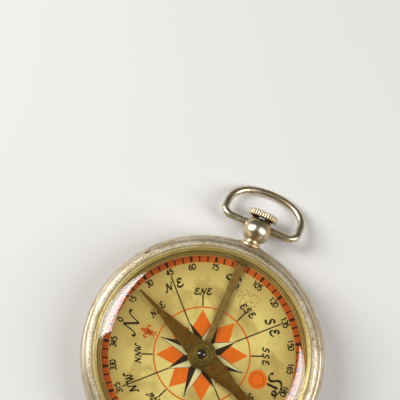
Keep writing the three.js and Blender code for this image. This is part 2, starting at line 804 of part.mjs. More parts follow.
// The wire's centre line, as a path of straight stretches and ellipse arcs in the bow's own plane.
class BowLine extends THREE.Curve {
  constructor() {
    super();
    const reach = bowWidth / 2 - bowWire / 2;
    const end = stemRadius + runningGap + bowEndInset;
    const sideEnd = bowLength - bowTopRise;
    const line = new THREE.Path();
    line.moveTo(-end, 0);
    line.lineTo(bowCorner - reach, 0);
    line.absarc(bowCorner - reach, bowCorner, bowCorner, -quarterTurn, -quarterTurn * 2, true);
    line.lineTo(-reach, sideEnd);
    line.absellipse(0, sideEnd, reach, bowTopRise, Math.PI, 0, true);
    line.lineTo(reach, bowCorner);
    line.absarc(reach - bowCorner, bowCorner, bowCorner, 0, -quarterTurn, true);
    line.lineTo(end, 0);
    this.line = line;
  }

  getPoint(share, target = new THREE.Vector3()) {
    const point = this.line.getPoint(share);
    return target.set(point.x, point.y, 0);
  }
}

const bowSides = 8;
const bowSteps = 64;

function bow() {
  return weld(new THREE.ExtrudeGeometry(circleShape(bowWire / 2, bowSides), {
    steps: bowSteps, extrudePath: new BowLine(), bevelEnabled: false,
  }));
}

// Assembly

function placed(x, y, z, ...children) {
  const group = new THREE.Group();
  group.position.set(x, y, z);
  children.forEach((child) => group.add(child));
  return group;
}

const caseGroup = placed(0, 0, 0,
  node('case_body', caseBody(), nickel),
  node('bezel', bezel(), nickel),
  node('crystal', crystal(), glass),
  node('support_ring', supportRing(), brass),
  node('dial_plate', dialPlate(), brass),
  node('dial_card', dialCard(), paper),
  node('dial_ring', dialRing(), brass));

const pivotGroup = placed(0, 0, dialTop,
  node('pivot_base', pivotBase(), brass),
  node('pivot_pin', pivotPin(), steel));

const needleGroup = placed(0, 0, dialTop,
  node('jewel', jewel(), darkStone),
  node('needle_cap', needleCap(), bronzedSteel),
  node('cap_washer', capWasher(), brass),
  node('needle', needlePlate(), bronzedSteel));
needleGroup.rotation.z = needleHeading * degree;

const leverGroup = placed(0, rootReach, dialTop, node('lever', lever(), dullBrass));
['left', 'right'].forEach((side, i) => {
  const rivet = node(`lever_rivet_${side}`, leverRivet(), brass);
  rivet.position.x = leverRivetPlaces[i][0];
  leverGroup.add(rivet);
});

const stemGroup = placed(0, 0, stemHeight,
  node('stem', stem(), steel),
  node('crown', crown(), nickel),
  node('spring_washer', springWasher(), steel),
  node('stem_spring', stemSpring(), steel),
  node('stem_guide', stemGuide(), brass),
  node('pendant', pendant(), nickel));

const screwGroup = placed(0, 0, plateTop);
['left', 'right'].forEach((side, i) => {
  const screw = node(`guide_screw_${side}`, guideScrew(), steel);
  screw.position.set(...guideScrewPlaces[i], 0);
  screwGroup.add(screw);
});

// At rest the bow has swung down until its far end is just above the surface under the case.
const bowDroop = Math.asin((stemHeight - bowWire / 2 - bowRestGap) / bowLength);
const bowGroup = placed(0, bowPivot, stemHeight, node('bow', bow(), nickel));
bowGroup.rotation.x = -bowDroop;

const compass = new THREE.Group();
compass.add(caseGroup, pivotGroup, needleGroup, leverGroup, stemGroup, screwGroup, bowGroup);

export default compass;
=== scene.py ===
"""Pocket compass in a watch-shaped case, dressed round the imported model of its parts.

Every piece is made by an operator from the sizes and colours below, in metres, in the
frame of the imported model: +Z up out of the dial, +Y towards the pendant.
"""

import math

import bmesh
import bpy
from bpy.props import FloatProperty, FloatVectorProperty, IntProperty, PointerProperty
from mathutils import Matrix, Vector, noise


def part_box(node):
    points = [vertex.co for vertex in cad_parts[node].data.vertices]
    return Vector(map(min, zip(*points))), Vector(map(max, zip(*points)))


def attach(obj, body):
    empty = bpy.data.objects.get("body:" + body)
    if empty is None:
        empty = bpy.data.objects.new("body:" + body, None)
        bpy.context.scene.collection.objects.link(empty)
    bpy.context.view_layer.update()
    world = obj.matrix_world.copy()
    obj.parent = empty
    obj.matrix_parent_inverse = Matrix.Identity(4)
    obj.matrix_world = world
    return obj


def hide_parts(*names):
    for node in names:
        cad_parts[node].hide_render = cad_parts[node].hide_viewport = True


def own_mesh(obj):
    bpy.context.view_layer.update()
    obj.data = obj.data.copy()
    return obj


bl_info = {
    "name": "Pocket Compass",
    "version": (1, 0, 0),
    "blender": (4, 5, 0),
    "location": "View3D > Sidebar > Compass",
    "description": "Makes a worn pocket compass with a printed dial, a push crown and a wire bow",
    "category": "Add Mesh",
}

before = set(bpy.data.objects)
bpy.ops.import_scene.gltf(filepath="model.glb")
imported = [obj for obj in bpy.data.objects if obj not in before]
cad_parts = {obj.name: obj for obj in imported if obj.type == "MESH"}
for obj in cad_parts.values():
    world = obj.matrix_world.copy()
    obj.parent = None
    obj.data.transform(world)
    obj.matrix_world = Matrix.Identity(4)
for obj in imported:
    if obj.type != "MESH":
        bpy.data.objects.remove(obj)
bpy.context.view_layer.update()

MM = 0.001
TINY = 1e-9
QUARTER = math.pi / 2
FULL = math.pi * 2

# Least angles of an edge that is drawn sharp, of one on the crown, and of one that is rounded
SHARP = math.radians(35)
RIDGE_SHARP = math.radians(40)
CORNER = math.radians(50)

# Steps round a wide piece, the bezel, one turn of the spring and one ridge of the crown
WIDE_STEPS = 264
BEZEL_STEPS = 300
TURN_STEPS = 40
RIDGE_STEPS = 10

SENSOR_WIDTH = 36  # of the camera, in millimetres
WEAR_SEED = 3.7
GROOVE_NARROWNESS = 3.5  # of the crown's grooves: a power, more is narrower

# Turn of the pen's edge from the foot line: for most letters, and for the S of the south
PEN_NIB = math.radians(60)
FLAT_NIB = math.radians(-10)

# Between solids that are pressed or glued together, and between a cut and its tool's end
FIT = 0.03 * MM
CLEAR = 2 * MM

# Ends of the tools that bore the pendant: along +Y for the stem, and across it for the bow
BORE_START, BORE_END = 15 * MM, 35 * MM
HINGE_REACH = 5 * MM

DIAL_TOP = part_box("dial_card")[1].z
STEM_LOW, STEM_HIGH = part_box("stem")
STEM_HEIGHT = (STEM_LOW.z + STEM_HIGH.z) / 2


def size(name, description, millimetres):
    """A length, written here in millimetres and kept in metres."""
    return FloatProperty(name=name, description=description, default=millimetres * MM,
                         unit="LENGTH", precision=6)


def angle(name, description, degrees):
    """An angle, written here in degrees."""
    return FloatProperty(name=name, description=description, default=math.radians(degrees),
                         unit="ROTATION")


def tint(name, description, *colour):
    """A colour."""
    return FloatVectorProperty(name=name, description=description, default=colour, size=3,
                               min=0, max=1, subtype="COLOR")


def count(name, description, default):
    """A whole number of like pieces."""
    return IntProperty(name=name, description=description, default=default, min=1)


# Sizes and colours


class StageSettings(bpy.types.PropertyGroup):
    """Floor, lamps and camera"""
    floor: tint("Floor", "Colour of the floor", 0.74, 0.73, 0.71)
    floor_size: size("Floor size", "Width of the square floor", 2000)
    floor_gap: size("Floor gap", "From the floor up to the back of the case", 0.01)
    world: tint("Surroundings", "Light from all round", 0.085, 0.083, 0.080)
    roll: angle("Roll", "Turn of the view about the dial, from +Y towards -X", 23.72)
    lens: FloatProperty(name="Lens", description="Focal length of the camera in millimetres",
                        default=144.5)
    place: FloatVectorProperty(name="Camera place", description="Where the camera stands", size=3,
                               default=(0.01273, -0.016838, 0.299878), unit="LENGTH", precision=6)
    target: FloatVectorProperty(name="Camera target", description="What the camera looks at",
                                size=3, default=(-0.011854, 0.026147, 0.0064), unit="LENGTH",
                                precision=6)
    distance: size("Lamp distance", "From the dial to each lamp", 350)
    left_power: FloatProperty(name="Left lamp", description="Power of the lamp at the left",
                              default=1.2, unit="POWER")
    left_turn: angle("Left lamp turn", "From the top of the view, anticlockwise", 61)
    left_tilt: angle("Left lamp tilt", "From straight above", 48.5)
    left_width: size("Left lamp width", "Width of the lamp at the left", 135)
    left_height: size("Left lamp height", "Height of the lamp at the left", 275)
    left_spin: angle("Left lamp spin", "Turn of that lamp about its own axis", 19)
    right_power: FloatProperty(name="Right lamp", description="Power of the lamp at the right",
                               default=0.8, unit="POWER")
    right_turn: angle("Right lamp turn", "From the top of the view, clockwise", 105)
    right_tilt: angle("Right lamp tilt", "From straight above", 45)
    right_width: size("Right lamp width", "Width of the lamp at the right", 108)
    right_height: size("Right lamp height", "Height of the lamp at the right", 280)
    right_spin: angle("Right lamp spin", "Turn of that lamp about its own axis", -14)


class CaseSettings(bpy.types.PropertyGroup):
    """Cup of the case"""
    radius: size("Radius", "Widest line of the band", 22.5)
    wall: size("Wall", "Thickness of the sheet", 0.65)
    back: size("Back", "Radius of the flat back", 15.5)
    seam: size("Seam", "Radius at the seam under the bezel", 21.5)
    seam_height: size("Seam height", "Height of the seam", 6.7)
    neck: size("Neck", "Outer radius of the neck inside the bezel", 20.75)
    neck_top: size("Neck top", "Height of the neck's end", 7.8)
    hole: size("Hole", "Radius of the hole for the pendant's spigot", 1.5)
    dent: size("Dent", "Depth of the dent in the band", 0.16)
    dent_width: size("Dent width", "Radius of the dent", 0.8)
    dent_turn: angle("Dent turn", "From the top of the view, anticlockwise", 27)
    dent_height: size("Dent height", "Height of the dent", 5.6)
    nickel: tint("Nickel", "Plating where it is clean", 0.76, 0.66, 0.49)
    tarnish: tint("Tarnish", "Plating where it has yellowed", 0.50, 0.365, 0.17)
    # The pit colour also paints the shade in the crown's grooves, and in and round the bezel's pry
    # notch.
    pit: tint("Pits", "Colour in the pits", 0.10, 0.07, 0.03)


class BezelSettings(bpy.types.PropertyGroup):
    """Snap-on bezel"""
    foot: size("Foot", "Height of its lower edge", 6.76)
    side: size("Side", "Height of the upright part of its side", 1.3)
    crest: size("Crest", "Radius of its highest line", 20.15)
    crest_height: size("Crest height", "Height of its highest line", 9.35)
    lip: size("Lip", "Radius of its inner edge", 19.35)
    lip_top: size("Lip top", "Upper side of the inner edge", 9.05)
    lip_bottom: size("Lip bottom", "Underside of the inner edge", 8.8)
    groove: size("Groove", "Radius of the groove for the crystal", 20.3)
    inside: size("Inside", "Radius inside, round the neck", 20.85)
    inside_top: size("Inside top", "Height over the neck", 7.9)
    edge: size("Edge", "Rounding of the lower edge", 0.14)
    notch_turn: angle("Notch turn", "From the pendant to the pry notch, anticlockwise", 51.6)
    notch_radius: size("Notch radius", "Radius of the pry notch", 0.75)
    notch_depth: size("Notch depth", "Depth of the pry notch", 0.45)
    notch_height: size("Notch height", "From the lower edge to the top of the pry notch", 2.0)
    uneven: size("Unevenness", "How uneven its worn surface is", 0.010)
    uneven_grain: size("Uneven grain", "Width of one unevenness", 2.2)
    # The slope's colour is a painted reflection of the brass ring, in dull brass.
    slope: tint("Slope", "Worn slope inside its highest line", 0.60, 0.47, 0.15)


class CrystalSettings(bpy.types.PropertyGroup):
    """Domed crystal"""
    seat: size("Seat", "Height of its underside", 8.43)
    flange: size("Flange", "Thickness of its flat edge", 0.3)
    edge: size("Edge", "Radius of its flat edge", 20.2)
    dome: size("Dome", "Radius of the dome", 19.25)
    rise: size("Rise", "Height of the dome over the flange", 1.55)
    wall: size("Wall", "Thickness of the glass", 0.8)
    fall: FloatProperty(name="Fall", description="How late the dome starts to fall", default=2.5)
    steep: FloatProperty(name="Steepness", description="How steep the dome is at its edge",
                         default=1.8)
    glass: tint("Glass", "Colour of the glass", 0.99, 0.985, 0.96)


class DialSettings(bpy.types.PropertyGroup):
    """Card, ring and print of the dial"""
    ring_outer: size("Ring", "Outer radius of the ring", 20.0)
    ring_top: size("Ring top", "Height of the ring", 8.4)
    ring_wall: size("Ring wall", "Thickness of the ring", 0.25)
    dark_inner: size("Dark line", "Inner radius of the dark line on the ring", 18.58)
    dark_outer: size("Dark line's end", "Outer radius of the dark line on the ring", 18.98)
    band_inner: size("Band inside", "Inner radius of the degree band", 17.02)
    band_outer: size("Band outside", "Outer radius of the degree band", 18.2)
    edge_gap: size("Edge line", "From the band to the line round it", 0.03)
    edge_width: size("Edge line width", "Width of the line round the band", 0.11)
    tick: size("Tick", "Width of a fine tick", 0.27)
    tick_start: size("Tick start", "From the inside of the band to a tick's foot", 0.04)
    heavy: size("Heavy tick", "Width of a tick at 15 degrees", 0.5)
    heavy_reach: size("Heavy reach", "Length of the heavy part of a tick", 0.95)
    numeral: size("Numerals", "Height of the numerals", 1.05)
    numeral_radius: size("Numeral radius", "Middle of the numerals", 16.25)
    numeral_pen: size("Numeral pen", "Width of the strokes of the numerals", 0.26)
    main_letter: size("Main letters", "Height of N, S and W", 2.55)
    main_foot: size("Main letters' place", "Radius of their feet", 12.75)
    main_thick: size("Main letters' pen", "Most width of their strokes", 0.5)
    east_letter: size("East letter", "Height of the E, which the lever passes over", 2.0)
    east_foot: size("East letter's place", "Radius of its foot", 13.6)
    letter_thin: size("Thin pen", "Least width of the strokes of large letters", 0.2)
    letter_thick: size("Thick pen", "Most width of the strokes of E and of pairs", 0.42)
    pair_letter: size("Pair letters", "Height of the letters of NE, SE, SW and NW", 1.5)
    pair_foot: size("Pair letters' place", "Radius of their feet", 13.05)
    pair_left: size("Pair left", "From the line of the wind to its first letter", 1.1)
    pair_right: size("Pair right", "From the line of the wind to its second letter", 1.0)
    small_letter: size("Small letters", "Height of the letters of the half winds", 1.08)
    small_foot: size("Small letters' place", "Radius of their feet", 11.1)
    small_pitch: size("Small letters' pitch", "From one of these letters to the next", 1.12)
    small_thin: size("Small thin pen", "Least width of their strokes", 0.17)
    small_thick: size("Small thick pen", "Most width of their strokes", 0.33)
    ring_line: size("Circle", "Radius of the circle round the rose", 8.76)
    ring_line_width: size("Circle width", "Width of that circle", 0.28)
    star: size("Star", "Reach of the rose's long points", 8.2)
    star_short: size("Short points", "Reach of the rose's short points", 6.6)
    star_waist: size("Waist", "Radius of the corners between the points", 3.2)
    kite: size("Half winds", "Reach of the eight plain points", 8.35)
    kite_wide: size("Half wind shoulder", "Radius where the plain points are widest", 5.5)
    kite_turn: angle("Half wind width", "Half of the angle of a plain point", 18.5)
    point_pen: size("Point lines", "Width of the lines along the points", 0.17)
    wind_start: size("Wind lines", "Radius where the lines of the winds start", 8.95)
    wind_end: size("Wind line end", "Radius where the long lines end", 15.5)
    wind_short: size("Short wind line", "Radius where the short lines end", 11.05)
    wind_pen: size("Wind pen", "Width of the lines of the winds", 0.3)
    north_mark: size("North mark", "Height of the mark at the north", 3.1)
    north_gap: size("North gap", "From the start of the wind lines to that mark", 0.25)
    roundel: size("Roundel", "Radius of the roundel at the south", 1.75)
    roundel_radius: size("Roundel place", "Radius of the middle of the roundel", 11.0)
    layer: size("Ink", "Thickness of one layer of ink", 0.005)
    card: tint("Card", "Aged card", 0.77, 0.635, 0.205)
    # Dark card is the colour of the clouds, and of the painted shade towards the rim and in two
    # patches.
    card_dark: tint("Dark card", "Card where it has darkened", 0.40, 0.265, 0.065)
    fox: tint("Foxing", "Brown specks", 0.26, 0.09, 0.015)
    red: tint("Band", "Ink of the degree band", 0.50, 0.090, 0.005)
    orange: tint("Orange", "Ink of the plain points", 0.73, 0.140, 0.004)
    black: tint("Black", "Ink of the letters and lines", 0.018, 0.008, 0.002)
    cream: tint("Cream", "Bright halves of the points", 0.72, 0.64, 0.32)
    brass: tint("Ring brass", "Ring where it is bright", 0.56, 0.43, 0.13)
    patina: tint("Patina", "Ring where it is dark", 0.11, 0.085, 0.016)


class NeedleSettings(bpy.types.PropertyGroup):
    """Needle, its cap and its jewel"""
    heading: angle("Heading", "Turn of the north tip from +X", 157.3)
    north: size("North", "Reach of the north tip", 16.38)
    south: size("South", "Reach of the south end", 15.58)
    half: size("Half width", "Half width of its blade beside the hub", 1.8)
    tail: size("Tail", "Half width of the tail", 0.89)
    hub: size("Hub", "Radius of its round middle", 2.65)
    bottom: size("Height", "Its underside above the dial", 1.2)
    thickness: size("Thickness", "Thickness of the needle", 0.27)
    edge: size("Edge", "Rounding of its edges", 0.035)
    cap: size("Cap", "Radius of the cap", 2.1)
    cap_flange: size("Cap flange", "Thickness of the cap's flange", 0.3)
    boss: size("Boss", "Radius of the cap's boss", 1.4)
    boss_top: size("Boss top", "Top of the boss above the dial", 1.95)
    tube: size("Tube", "Outer radius of the cap's tube", 1.02)
    tube_bottom: size("Tube bottom", "End of the tube above the dial", 0.98)
    jewel: size("Jewel", "Radius of the jewel", 0.8)
    jewel_bottom: size("Jewel bottom", "Foot of the jewel above the dial", 1.05)
    jewel_dome: size("Jewel dome", "Rise of the jewel's top", 0.38)
    pit_width: size("Pit", "Radius of the mouth of the jewel's pit", 0.42)
    pit_depth: size("Pit depth", "Depth of the jewel's pit", 0.75)
    bronze: tint("Bronzing", "Bronzed steel", 0.115, 0.048, 0.002)
    worn: tint("Worn", "Where the bronzing has worn", 0.19, 0.115, 0.020)
    olive: tint("Olive", "Where the bronzing has turned greenish", 0.092, 0.068, 0.010)
    dull: tint("Dull", "Bronzing round the hub", 0.080, 0.064, 0.012)
    stone: tint("Stone", "The jewel", 0.012, 0.006, 0.003)


class LeverSettings(bpy.types.PropertyGroup):
    """Spring lever"""
    rivets: size("Rivets", "From the middle to its rivets", 19.25)
    thickness: size("Thickness", "Thickness of the strip", 0.35)
    float_: size("Float", "Underside of the bar above the dial", 0.35)
    seat: size("Seat", "Underside of the root above the dial", 0.03)
    bar: size("Bar", "Width of the bar at its outer end", 1.5)
    bar_inner: size("Bar inside", "Width of the bar at the eye", 1.12)
    root: size("Root", "Width of the root", 2.7)
    root_end: size("Root end", "End of the root", 19.65)
    root_start: size("Root start", "Where the bar starts to widen", 17.9)
    bend_start: size("Bend start", "Where the bar starts to bend down", 17.4)
    bend_end: size("Bend end", "Where the root lies flat", 18.5)
    eye: size("Eye", "Radius of the eye", 2.5)
    eye_hole: size("Eye hole", "Radius of the hole in the eye", 1.3)
    tongue: size("Tongue", "From the middle to its tongue", 14.05)
    tongue_width: size("Tongue width", "Width of the tongue", 0.8)
    tongue_thickness: size("Tongue thickness", "Thickness of the tongue", 0.35)
    tongue_bottom: size("Tongue bottom", "Height of the tongue's end", 4.48)
    rivet_hole: size("Rivet hole", "Radius of a hole for a rivet", 0.34)
    rivet_pitch: size("Rivet pitch", "Between the two rivets", 1.5)
    edge: size("Edge", "Rounding of its edges", 0.04)
    brass: tint("Brass", "Tarnished brass", 0.235, 0.140, 0.020)
    brown: tint("Brown", "Brown tarnish", 0.115, 0.066, 0.010)


class PendantSettings(bpy.types.PropertyGroup):
    """Pendant, crown and bow"""
    spigot: size("Spigot", "Radius inside the case", 1.4)
    spigot_start: size("Spigot start", "Its inner end", 20.6)
    foot: size("Foot", "Radius of the foot", 2.55)
    foot_end: size("Foot end", "Outer end of the foot", 22.65)
    neck: size("Neck", "Radius of the neck", 1.45)
    bead: size("Bead", "Radius of the bead round the neck", 0.22)
    ball: size("Ball", "Radius of the ball", 2.7)
    ball_centre: size("Ball centre", "Middle of the ball", 25.5)
    ball_flat: size("Ball flat", "Radius of the flat on the ball", 1.75)
    bore: size("Bore", "Radius of the bore for the stem", 0.78)
    crown: size("Crown", "Radius of the crown", 2.75)
    crown_start: size("Crown start", "Inner face of the crown", 27.91)
    crown_end: size("Crown end", "Edge of the crown's outer face", 28.96)
    crown_dome: size("Crown dome", "Rise of its outer face", 0.22)
    recess: size("Recess", "Radius of the recess in the crown", 2.2)
    recess_depth: size("Recess depth", "Depth of that recess", 0.45)
    thread: size("Thread", "Radius of the threaded hole", 0.55)
    thread_end: size("Thread end", "End of the threaded hole", 28.76)
    teeth: count("Teeth", "Ridges round the crown", 34)
    tooth: size("Tooth", "Depth of the grooves", 0.14)
    pivot: size("Pivot", "From the middle to the bow's pivot", 26.3)
    bow_width: size("Bow width", "Over the wire", 16)
    bow_length: size("Bow length", "From the pivot to the middle of the wire", 7.6)
    wire: size("Wire", "Thickness of the wire", 1.45)
    corner: size("Corner", "Radius of its corners", 1.75)
    oval: size("Oval", "Half height of the oval end", 4.9)
    fullness: FloatProperty(name="Fullness", description="1 for an oval, less for a fuller one",
                            default=0.9)
    bow_end: size("Bow end", "From the middle to the ends of the wire", 1.33)
    hinge_play: size("Hinge play", "Round the wire in the ball", 0.08)
    lean: angle("Lean", "How far the bow hangs at rest", 24.69)


class WorksSettings(bpy.types.PropertyGroup):
    """Spring and hidden works"""
    spring: size("Spring", "Radius to the middle of the wire", 0.96)
    wire: size("Spring wire", "Thickness of the spring's wire", 0.28)
    spring_start: size("Spring start", "Middle of the first turn", 16.70)
    spring_end: size("Spring end", "Middle of the last turn", 19.69)
    turns: count("Turns", "Turns of the spring", 4)
    guide_face: size("Guide face", "Face that the spring pushes against", 16.5)
    travel: size("Travel", "How far the crown is pressed", 0.6)
    spring_room: size("Spring room", "From the guide to the washer at rest", 3.39)
    brass: tint("Plain brass", "Plates out of the light", 0.60, 0.46, 0.20)
    steel: tint("Steel", "Stem, spring and screws", 0.46, 0.45, 0.43)
    rust: tint("Rust", "Brown on the steel", 0.16, 0.075, 0.03)


class CompassSettings(bpy.types.PropertyGroup):
    """All sizes and colours"""
    stage: PointerProperty(type=StageSettings)
    case: PointerProperty(type=CaseSettings)
    bezel: PointerProperty(type=BezelSettings)
    crystal: PointerProperty(type=CrystalSettings)
    dial: PointerProperty(type=DialSettings)
    needle: PointerProperty(type=NeedleSettings)
    lever: PointerProperty(type=LeverSettings)
    pendant: PointerProperty(type=PendantSettings)
    works: PointerProperty(type=WorksSettings)


# Shapes


def spread(start, end, steps):
    """Evenly spaced values, both ends included."""
    return [start + (end - start) * i / steps for i in range(steps + 1)]


def arc(centre, across, along, start, end, steps):
    """Points of an ellipse's arc, as radius and place along the axis, both ends included."""
    return [(centre[0] + across * math.cos(t), centre[1] + along * math.sin(t))
            for t in spread(start, end, steps)]


def ball_of(radius, steps):
    """A circle of points round the origin."""
    return [(radius * math.cos(t), radius * math.sin(t)) for t in spread(0, FULL, steps)[:-1]]


def turned(outline, steps, along_y=False, height=0.0, ridge=None):
    """A closed solid turned from (radius, along) points about Z, or about Y at a height."""
    bm = bmesh.new()
    rings = []
    for radius, along in outline:
        ring = []
        for i in range(1 if radius < TINY else steps):
            turn = FULL * i / steps
            reach = radius if ridge is None else ridge(radius, turn)
            across, up = reach * math.cos(turn), reach * math.sin(turn)
            place = (across, along, height + up) if along_y else (across, up, along)
            ring.append(bm.verts.new(place))
        rings.append(ring)
    closed = len(rings[0]) > 1
    for low, high in zip(rings, rings[1:] + rings[:1] if closed else rings[1:]):
        for i in range(steps):
            j = (i + 1) % steps
            corners = [low[i % len(low)], low[j % len(low)],
                       high[j % len(high)], high[i % len(high)]]
            corners = [v for k, v in enumerate(corners) if v not in corners[:k]]
            if len(corners) > 2:
                bm.faces.new(corners)
    return bm


def swept(path, radius, sides):
    """A round wire along a path of points."""
    bm = bmesh.new()
    rings = []
    normal = None
    for i, point in enumerate(path):
        ahead = (path[min(i + 1, len(path) - 1)] - path[max(i - 1, 0)]).normalized()
        if normal is None:
            normal = ahead.orthogonal().normalized()
        normal = (normal - ahead * normal.dot(ahead)).normalized()
        side = ahead.cross(normal)
        rings.append([bm.verts.new(point + (normal * math.cos(t) + side * math.sin(t)) * radius)
                      for t in spread(0, FULL, sides)[:-1]])
    for low, high in zip(rings, rings[1:]):
        for i in range(sides):
            j = (i + 1) % sides
            bm.faces.new((low[i], low[j], high[j], high[i]))
    bm.faces.new(rings[0][::-1])
    bm.faces.new(rings[-1])
    return bm


def rod(radius, start, end, steps, **place):
    """A plain round bar."""
    return turned([(0, start), (radius, start), (radius, end), (0, end)], steps, **place)


def sheet(outline, holes, bottom, thickness, cuts=()):
    """A flat plate of a plan, with holes, cut across at the y places where it will bend."""
    bm = bmesh.new()
    edges = []
    for loop in (outline, *holes):
        verts = [bm.verts.new((x, y, bottom)) for x, y in loop]
        edges += [bm.edges.new(pair) for pair in zip(verts, verts[1:] + verts[:1])]
    bmesh.ops.triangle_fill(bm, use_beauty=True, edges=edges)
    for place in cuts:
        bmesh.ops.bisect_plane(bm, geom=bm.verts[:] + bm.edges[:] + bm.faces[:],
                               plane_co=(0, place, 0), plane_no=(0, 1, 0))
    grown = bmesh.ops.extrude_face_region(bm, geom=bm.faces[:])["geom"]
    for vert in (v for v in grown if isinstance(v, bmesh.types.BMVert)):
        vert.co.z += thickness
    bmesh.ops.recalc_face_normals(bm, faces=bm.faces[:])
    return bm


def round_edges(bm, width):
    """Rounds the edges where two faces meet at a sharp angle."""
    edges = [e for e in bm.edges if len(e.link_faces) == 2 and e.calc_face_angle(0) > CORNER]
    bmesh.ops.bevel(bm, geom=edges, offset=width, segments=2, profile=0.5, affect="EDGES",
                    clamp_overlap=True)


def uneven(bm, amount, grain, seed):
    """Moves the surface in and out by a soft noise."""
    bm.normal_update()
    shift = Vector((seed, -seed, seed))
    moves = [v.normal * noise.noise(v.co / grain + shift) * amount for v in bm.verts]
    for vert, move in zip(bm.verts, moves):
        vert.co += move


def block(low, high):
    """A box between two corners."""
    bm = bmesh.new()
    middle = (Vector(low) + Vector(high)) / 2
    spans = Vector(high) - Vector(low)
    stretch = Matrix.Translation(middle) @ Matrix.Diagonal((*spans, 1))
    bmesh.ops.create_cube(bm, size=1, matrix=stretch)
    return bm


def as_object(name, bm, sharp=SHARP):
    """An object of a mesh, smooth but for its sharp edges."""
    bmesh.ops.recalc_face_normals(bm, faces=bm.faces[:])
    mesh = bpy.data.meshes.new(name)
    bm.to_mesh(mesh)
    bm.free()
    piece = bpy.data.objects.new(name, mesh)
    bpy.context.scene.collection.objects.link(piece)
    smooth(piece, sharp)
    return piece


def smooth(piece, sharp=SHARP):
    """Smooth shading, but for edges sharper than the angle."""
    piece.data.polygons.foreach_set("use_smooth", [True] * len(piece.data.polygons))
    piece.data.set_sharp_from_angle(angle=sharp)


def carve(piece, *tools, operation="DIFFERENCE"):
    """Cuts the tools' solids out of a piece, or joins them to it."""
    for i, bm in enumerate(tools):
        tool = as_object(f"{piece.name}_tool_{i}", bm)
        step = piece.modifiers.new("cut", "BOOLEAN")
        step.object, step.operation, step.solver = tool, operation, "EXACT"
    bpy.context.view_layer.update()
    shaped = piece.evaluated_get(bpy.context.evaluated_depsgraph_get())
    mesh = bpy.data.meshes.new_from_object(shaped)
    for step in list(piece.modifiers):
        tool = step.object
        piece.modifiers.remove(step)
        bpy.data.objects.remove(tool)
    if not mesh.polygons:
        raise RuntimeError(f"nothing is left of {piece.name}")
    mesh.name = piece.name
    piece.data = mesh
    smooth(piece)
    return piece


def dress(piece, material, body, slot, *stands_for):
    """Gives a piece its finish, and ties it to its body and to the nodes that it stands for."""
    piece.data.materials.clear()
    piece.data.materials.append(material)
    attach(piece, body)
    if stands_for:
        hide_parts(*stands_for)
    return piece


def dress_node(name, material):
    """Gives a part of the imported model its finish."""
    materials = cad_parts[name].data.materials
    materials.clear()
    materials.append(material)


# Print: thin closed solids that stand on the card


def prism(bm, outline, bottom, top):
    """A flat figure of any outline, from bottom to top."""
    low = [bm.verts.new((x, y, bottom)) for x, y in outline]
    high = [bm.verts.new((x, y, top)) for x, y in outline]
    bm.faces.new(high)
    bm.faces.new(low[::-1])
    for i in range(len(low)):
        j = (i + 1) % len(low)
        bm.faces.new((low[i], low[j], high[j], high[i]))


def hoop(bm, inner, outer, bottom, top, steps=240):
    """A flat ring."""
    turns = spread(0, FULL, steps)[:-1]
    rings = [[bm.verts.new((r * math.cos(t), r * math.sin(t), z)) for t in turns]
             for r, z in ((inner, bottom), (outer, bottom), (outer, top), (inner, top))]
    for low, high in zip(rings, rings[1:] + rings[:1]):
        for i in range(steps):
            j = (i + 1) % steps
            bm.faces.new((low[i], low[j], high[j], high[i]))


def flowing(points, steps=7):
    """A smooth line through the points."""
    ends = [points[0], *points, points[-1]]
    line = []
    for a, b, c, d in zip(ends, ends[1:], ends[2:], ends[3:]):
        for t in spread(0, 1, steps)[:-1]:
            line.append(tuple(
                0.5 * (2 * b[k] + (c[k] - a[k]) * t
                       + (2 * a[k] - 5 * b[k] + 4 * c[k] - d[k]) * t ** 2
                       + (3 * b[k] - a[k] - 3 * c[k] + d[k]) * t ** 3) for k in (0, 1)))
    return line + [tuple(points[-1])]


def pen_line(bm, line, thin, thick, nib, bottom, top, taper=0.55):
    """A pen's stroke along a line: thin where it runs along the nib, thick across it."""
    left, right = [], []
    for i, (x, y) in enumerate(line):
        back, ahead = line[max(i - 1, 0)], line[min(i + 1, len(line) - 1)]
        run = math.atan2(ahead[1] - back[1], ahead[0] - back[0])
        half = (thin + (thick - thin) * abs(math.sin(run - nib)) ** 1.4) / 2
        if i in (0, len(line) - 1):
            half *= taper
        left.append((x - math.sin(run) * half, y + math.cos(run) * half))
        right.append((x + math.sin(run) * half, y - math.cos(run) * half))
    sides = [[bm.verts.new((x, y, z)) for x, y in side]
             for side, z in ((left, bottom), (right, bottom), (right, top), (left, top))]
    for low, high in zip(sides, sides[1:] + sides[:1]):
        for i in range(len(line) - 1):
            bm.faces.new((low[i], low[i + 1], high[i + 1], high[i]))
    bm.faces.new([side[0] for side in sides])
    bm.faces.new([side[-1] for side in sides][::-1])


def on_dial(degrees, radius, across=0.0):
    """A point of the dial: its degrees run clockwise, 0 at -X and 90 at the pendant."""
    turn = math.pi - math.radians(degrees)
    return (radius * math.cos(turn) + across * math.sin(turn),
            radius * math.sin(turn) - across * math.cos(turn))


def mark(bm, degrees, start, end, width, bottom, top):
    """A straight mark of one width, along a radius of the dial."""
    half = width / 2
    corners = ((start, -half), (end, -half), (end, half), (start, half))
    outline = [on_dial(degrees, radius, across) for radius, across in corners]
    prism(bm, outline[::-1], bottom, top)


def write(bm, glyph, place, span, pen, ink_level, nib=PEN_NIB):
    """One letter or numeral, upright towards the rim.

    The place of its foot is degrees, radius and distance to the right; the span is its height and
    its width; the pen is its least and its most width.
    """
    degrees, radius, across = place
    tall, wide = span
    turn = QUARTER - math.radians(degrees)
    for stroke in glyph:
        line = flowing([(x * wide, y * tall) for x, y in stroke])
        placed = [on_dial(degrees, radius + y, across + x) for x, y in line]
        pen_line(bm, placed, *pen, nib + turn, *ink_level)


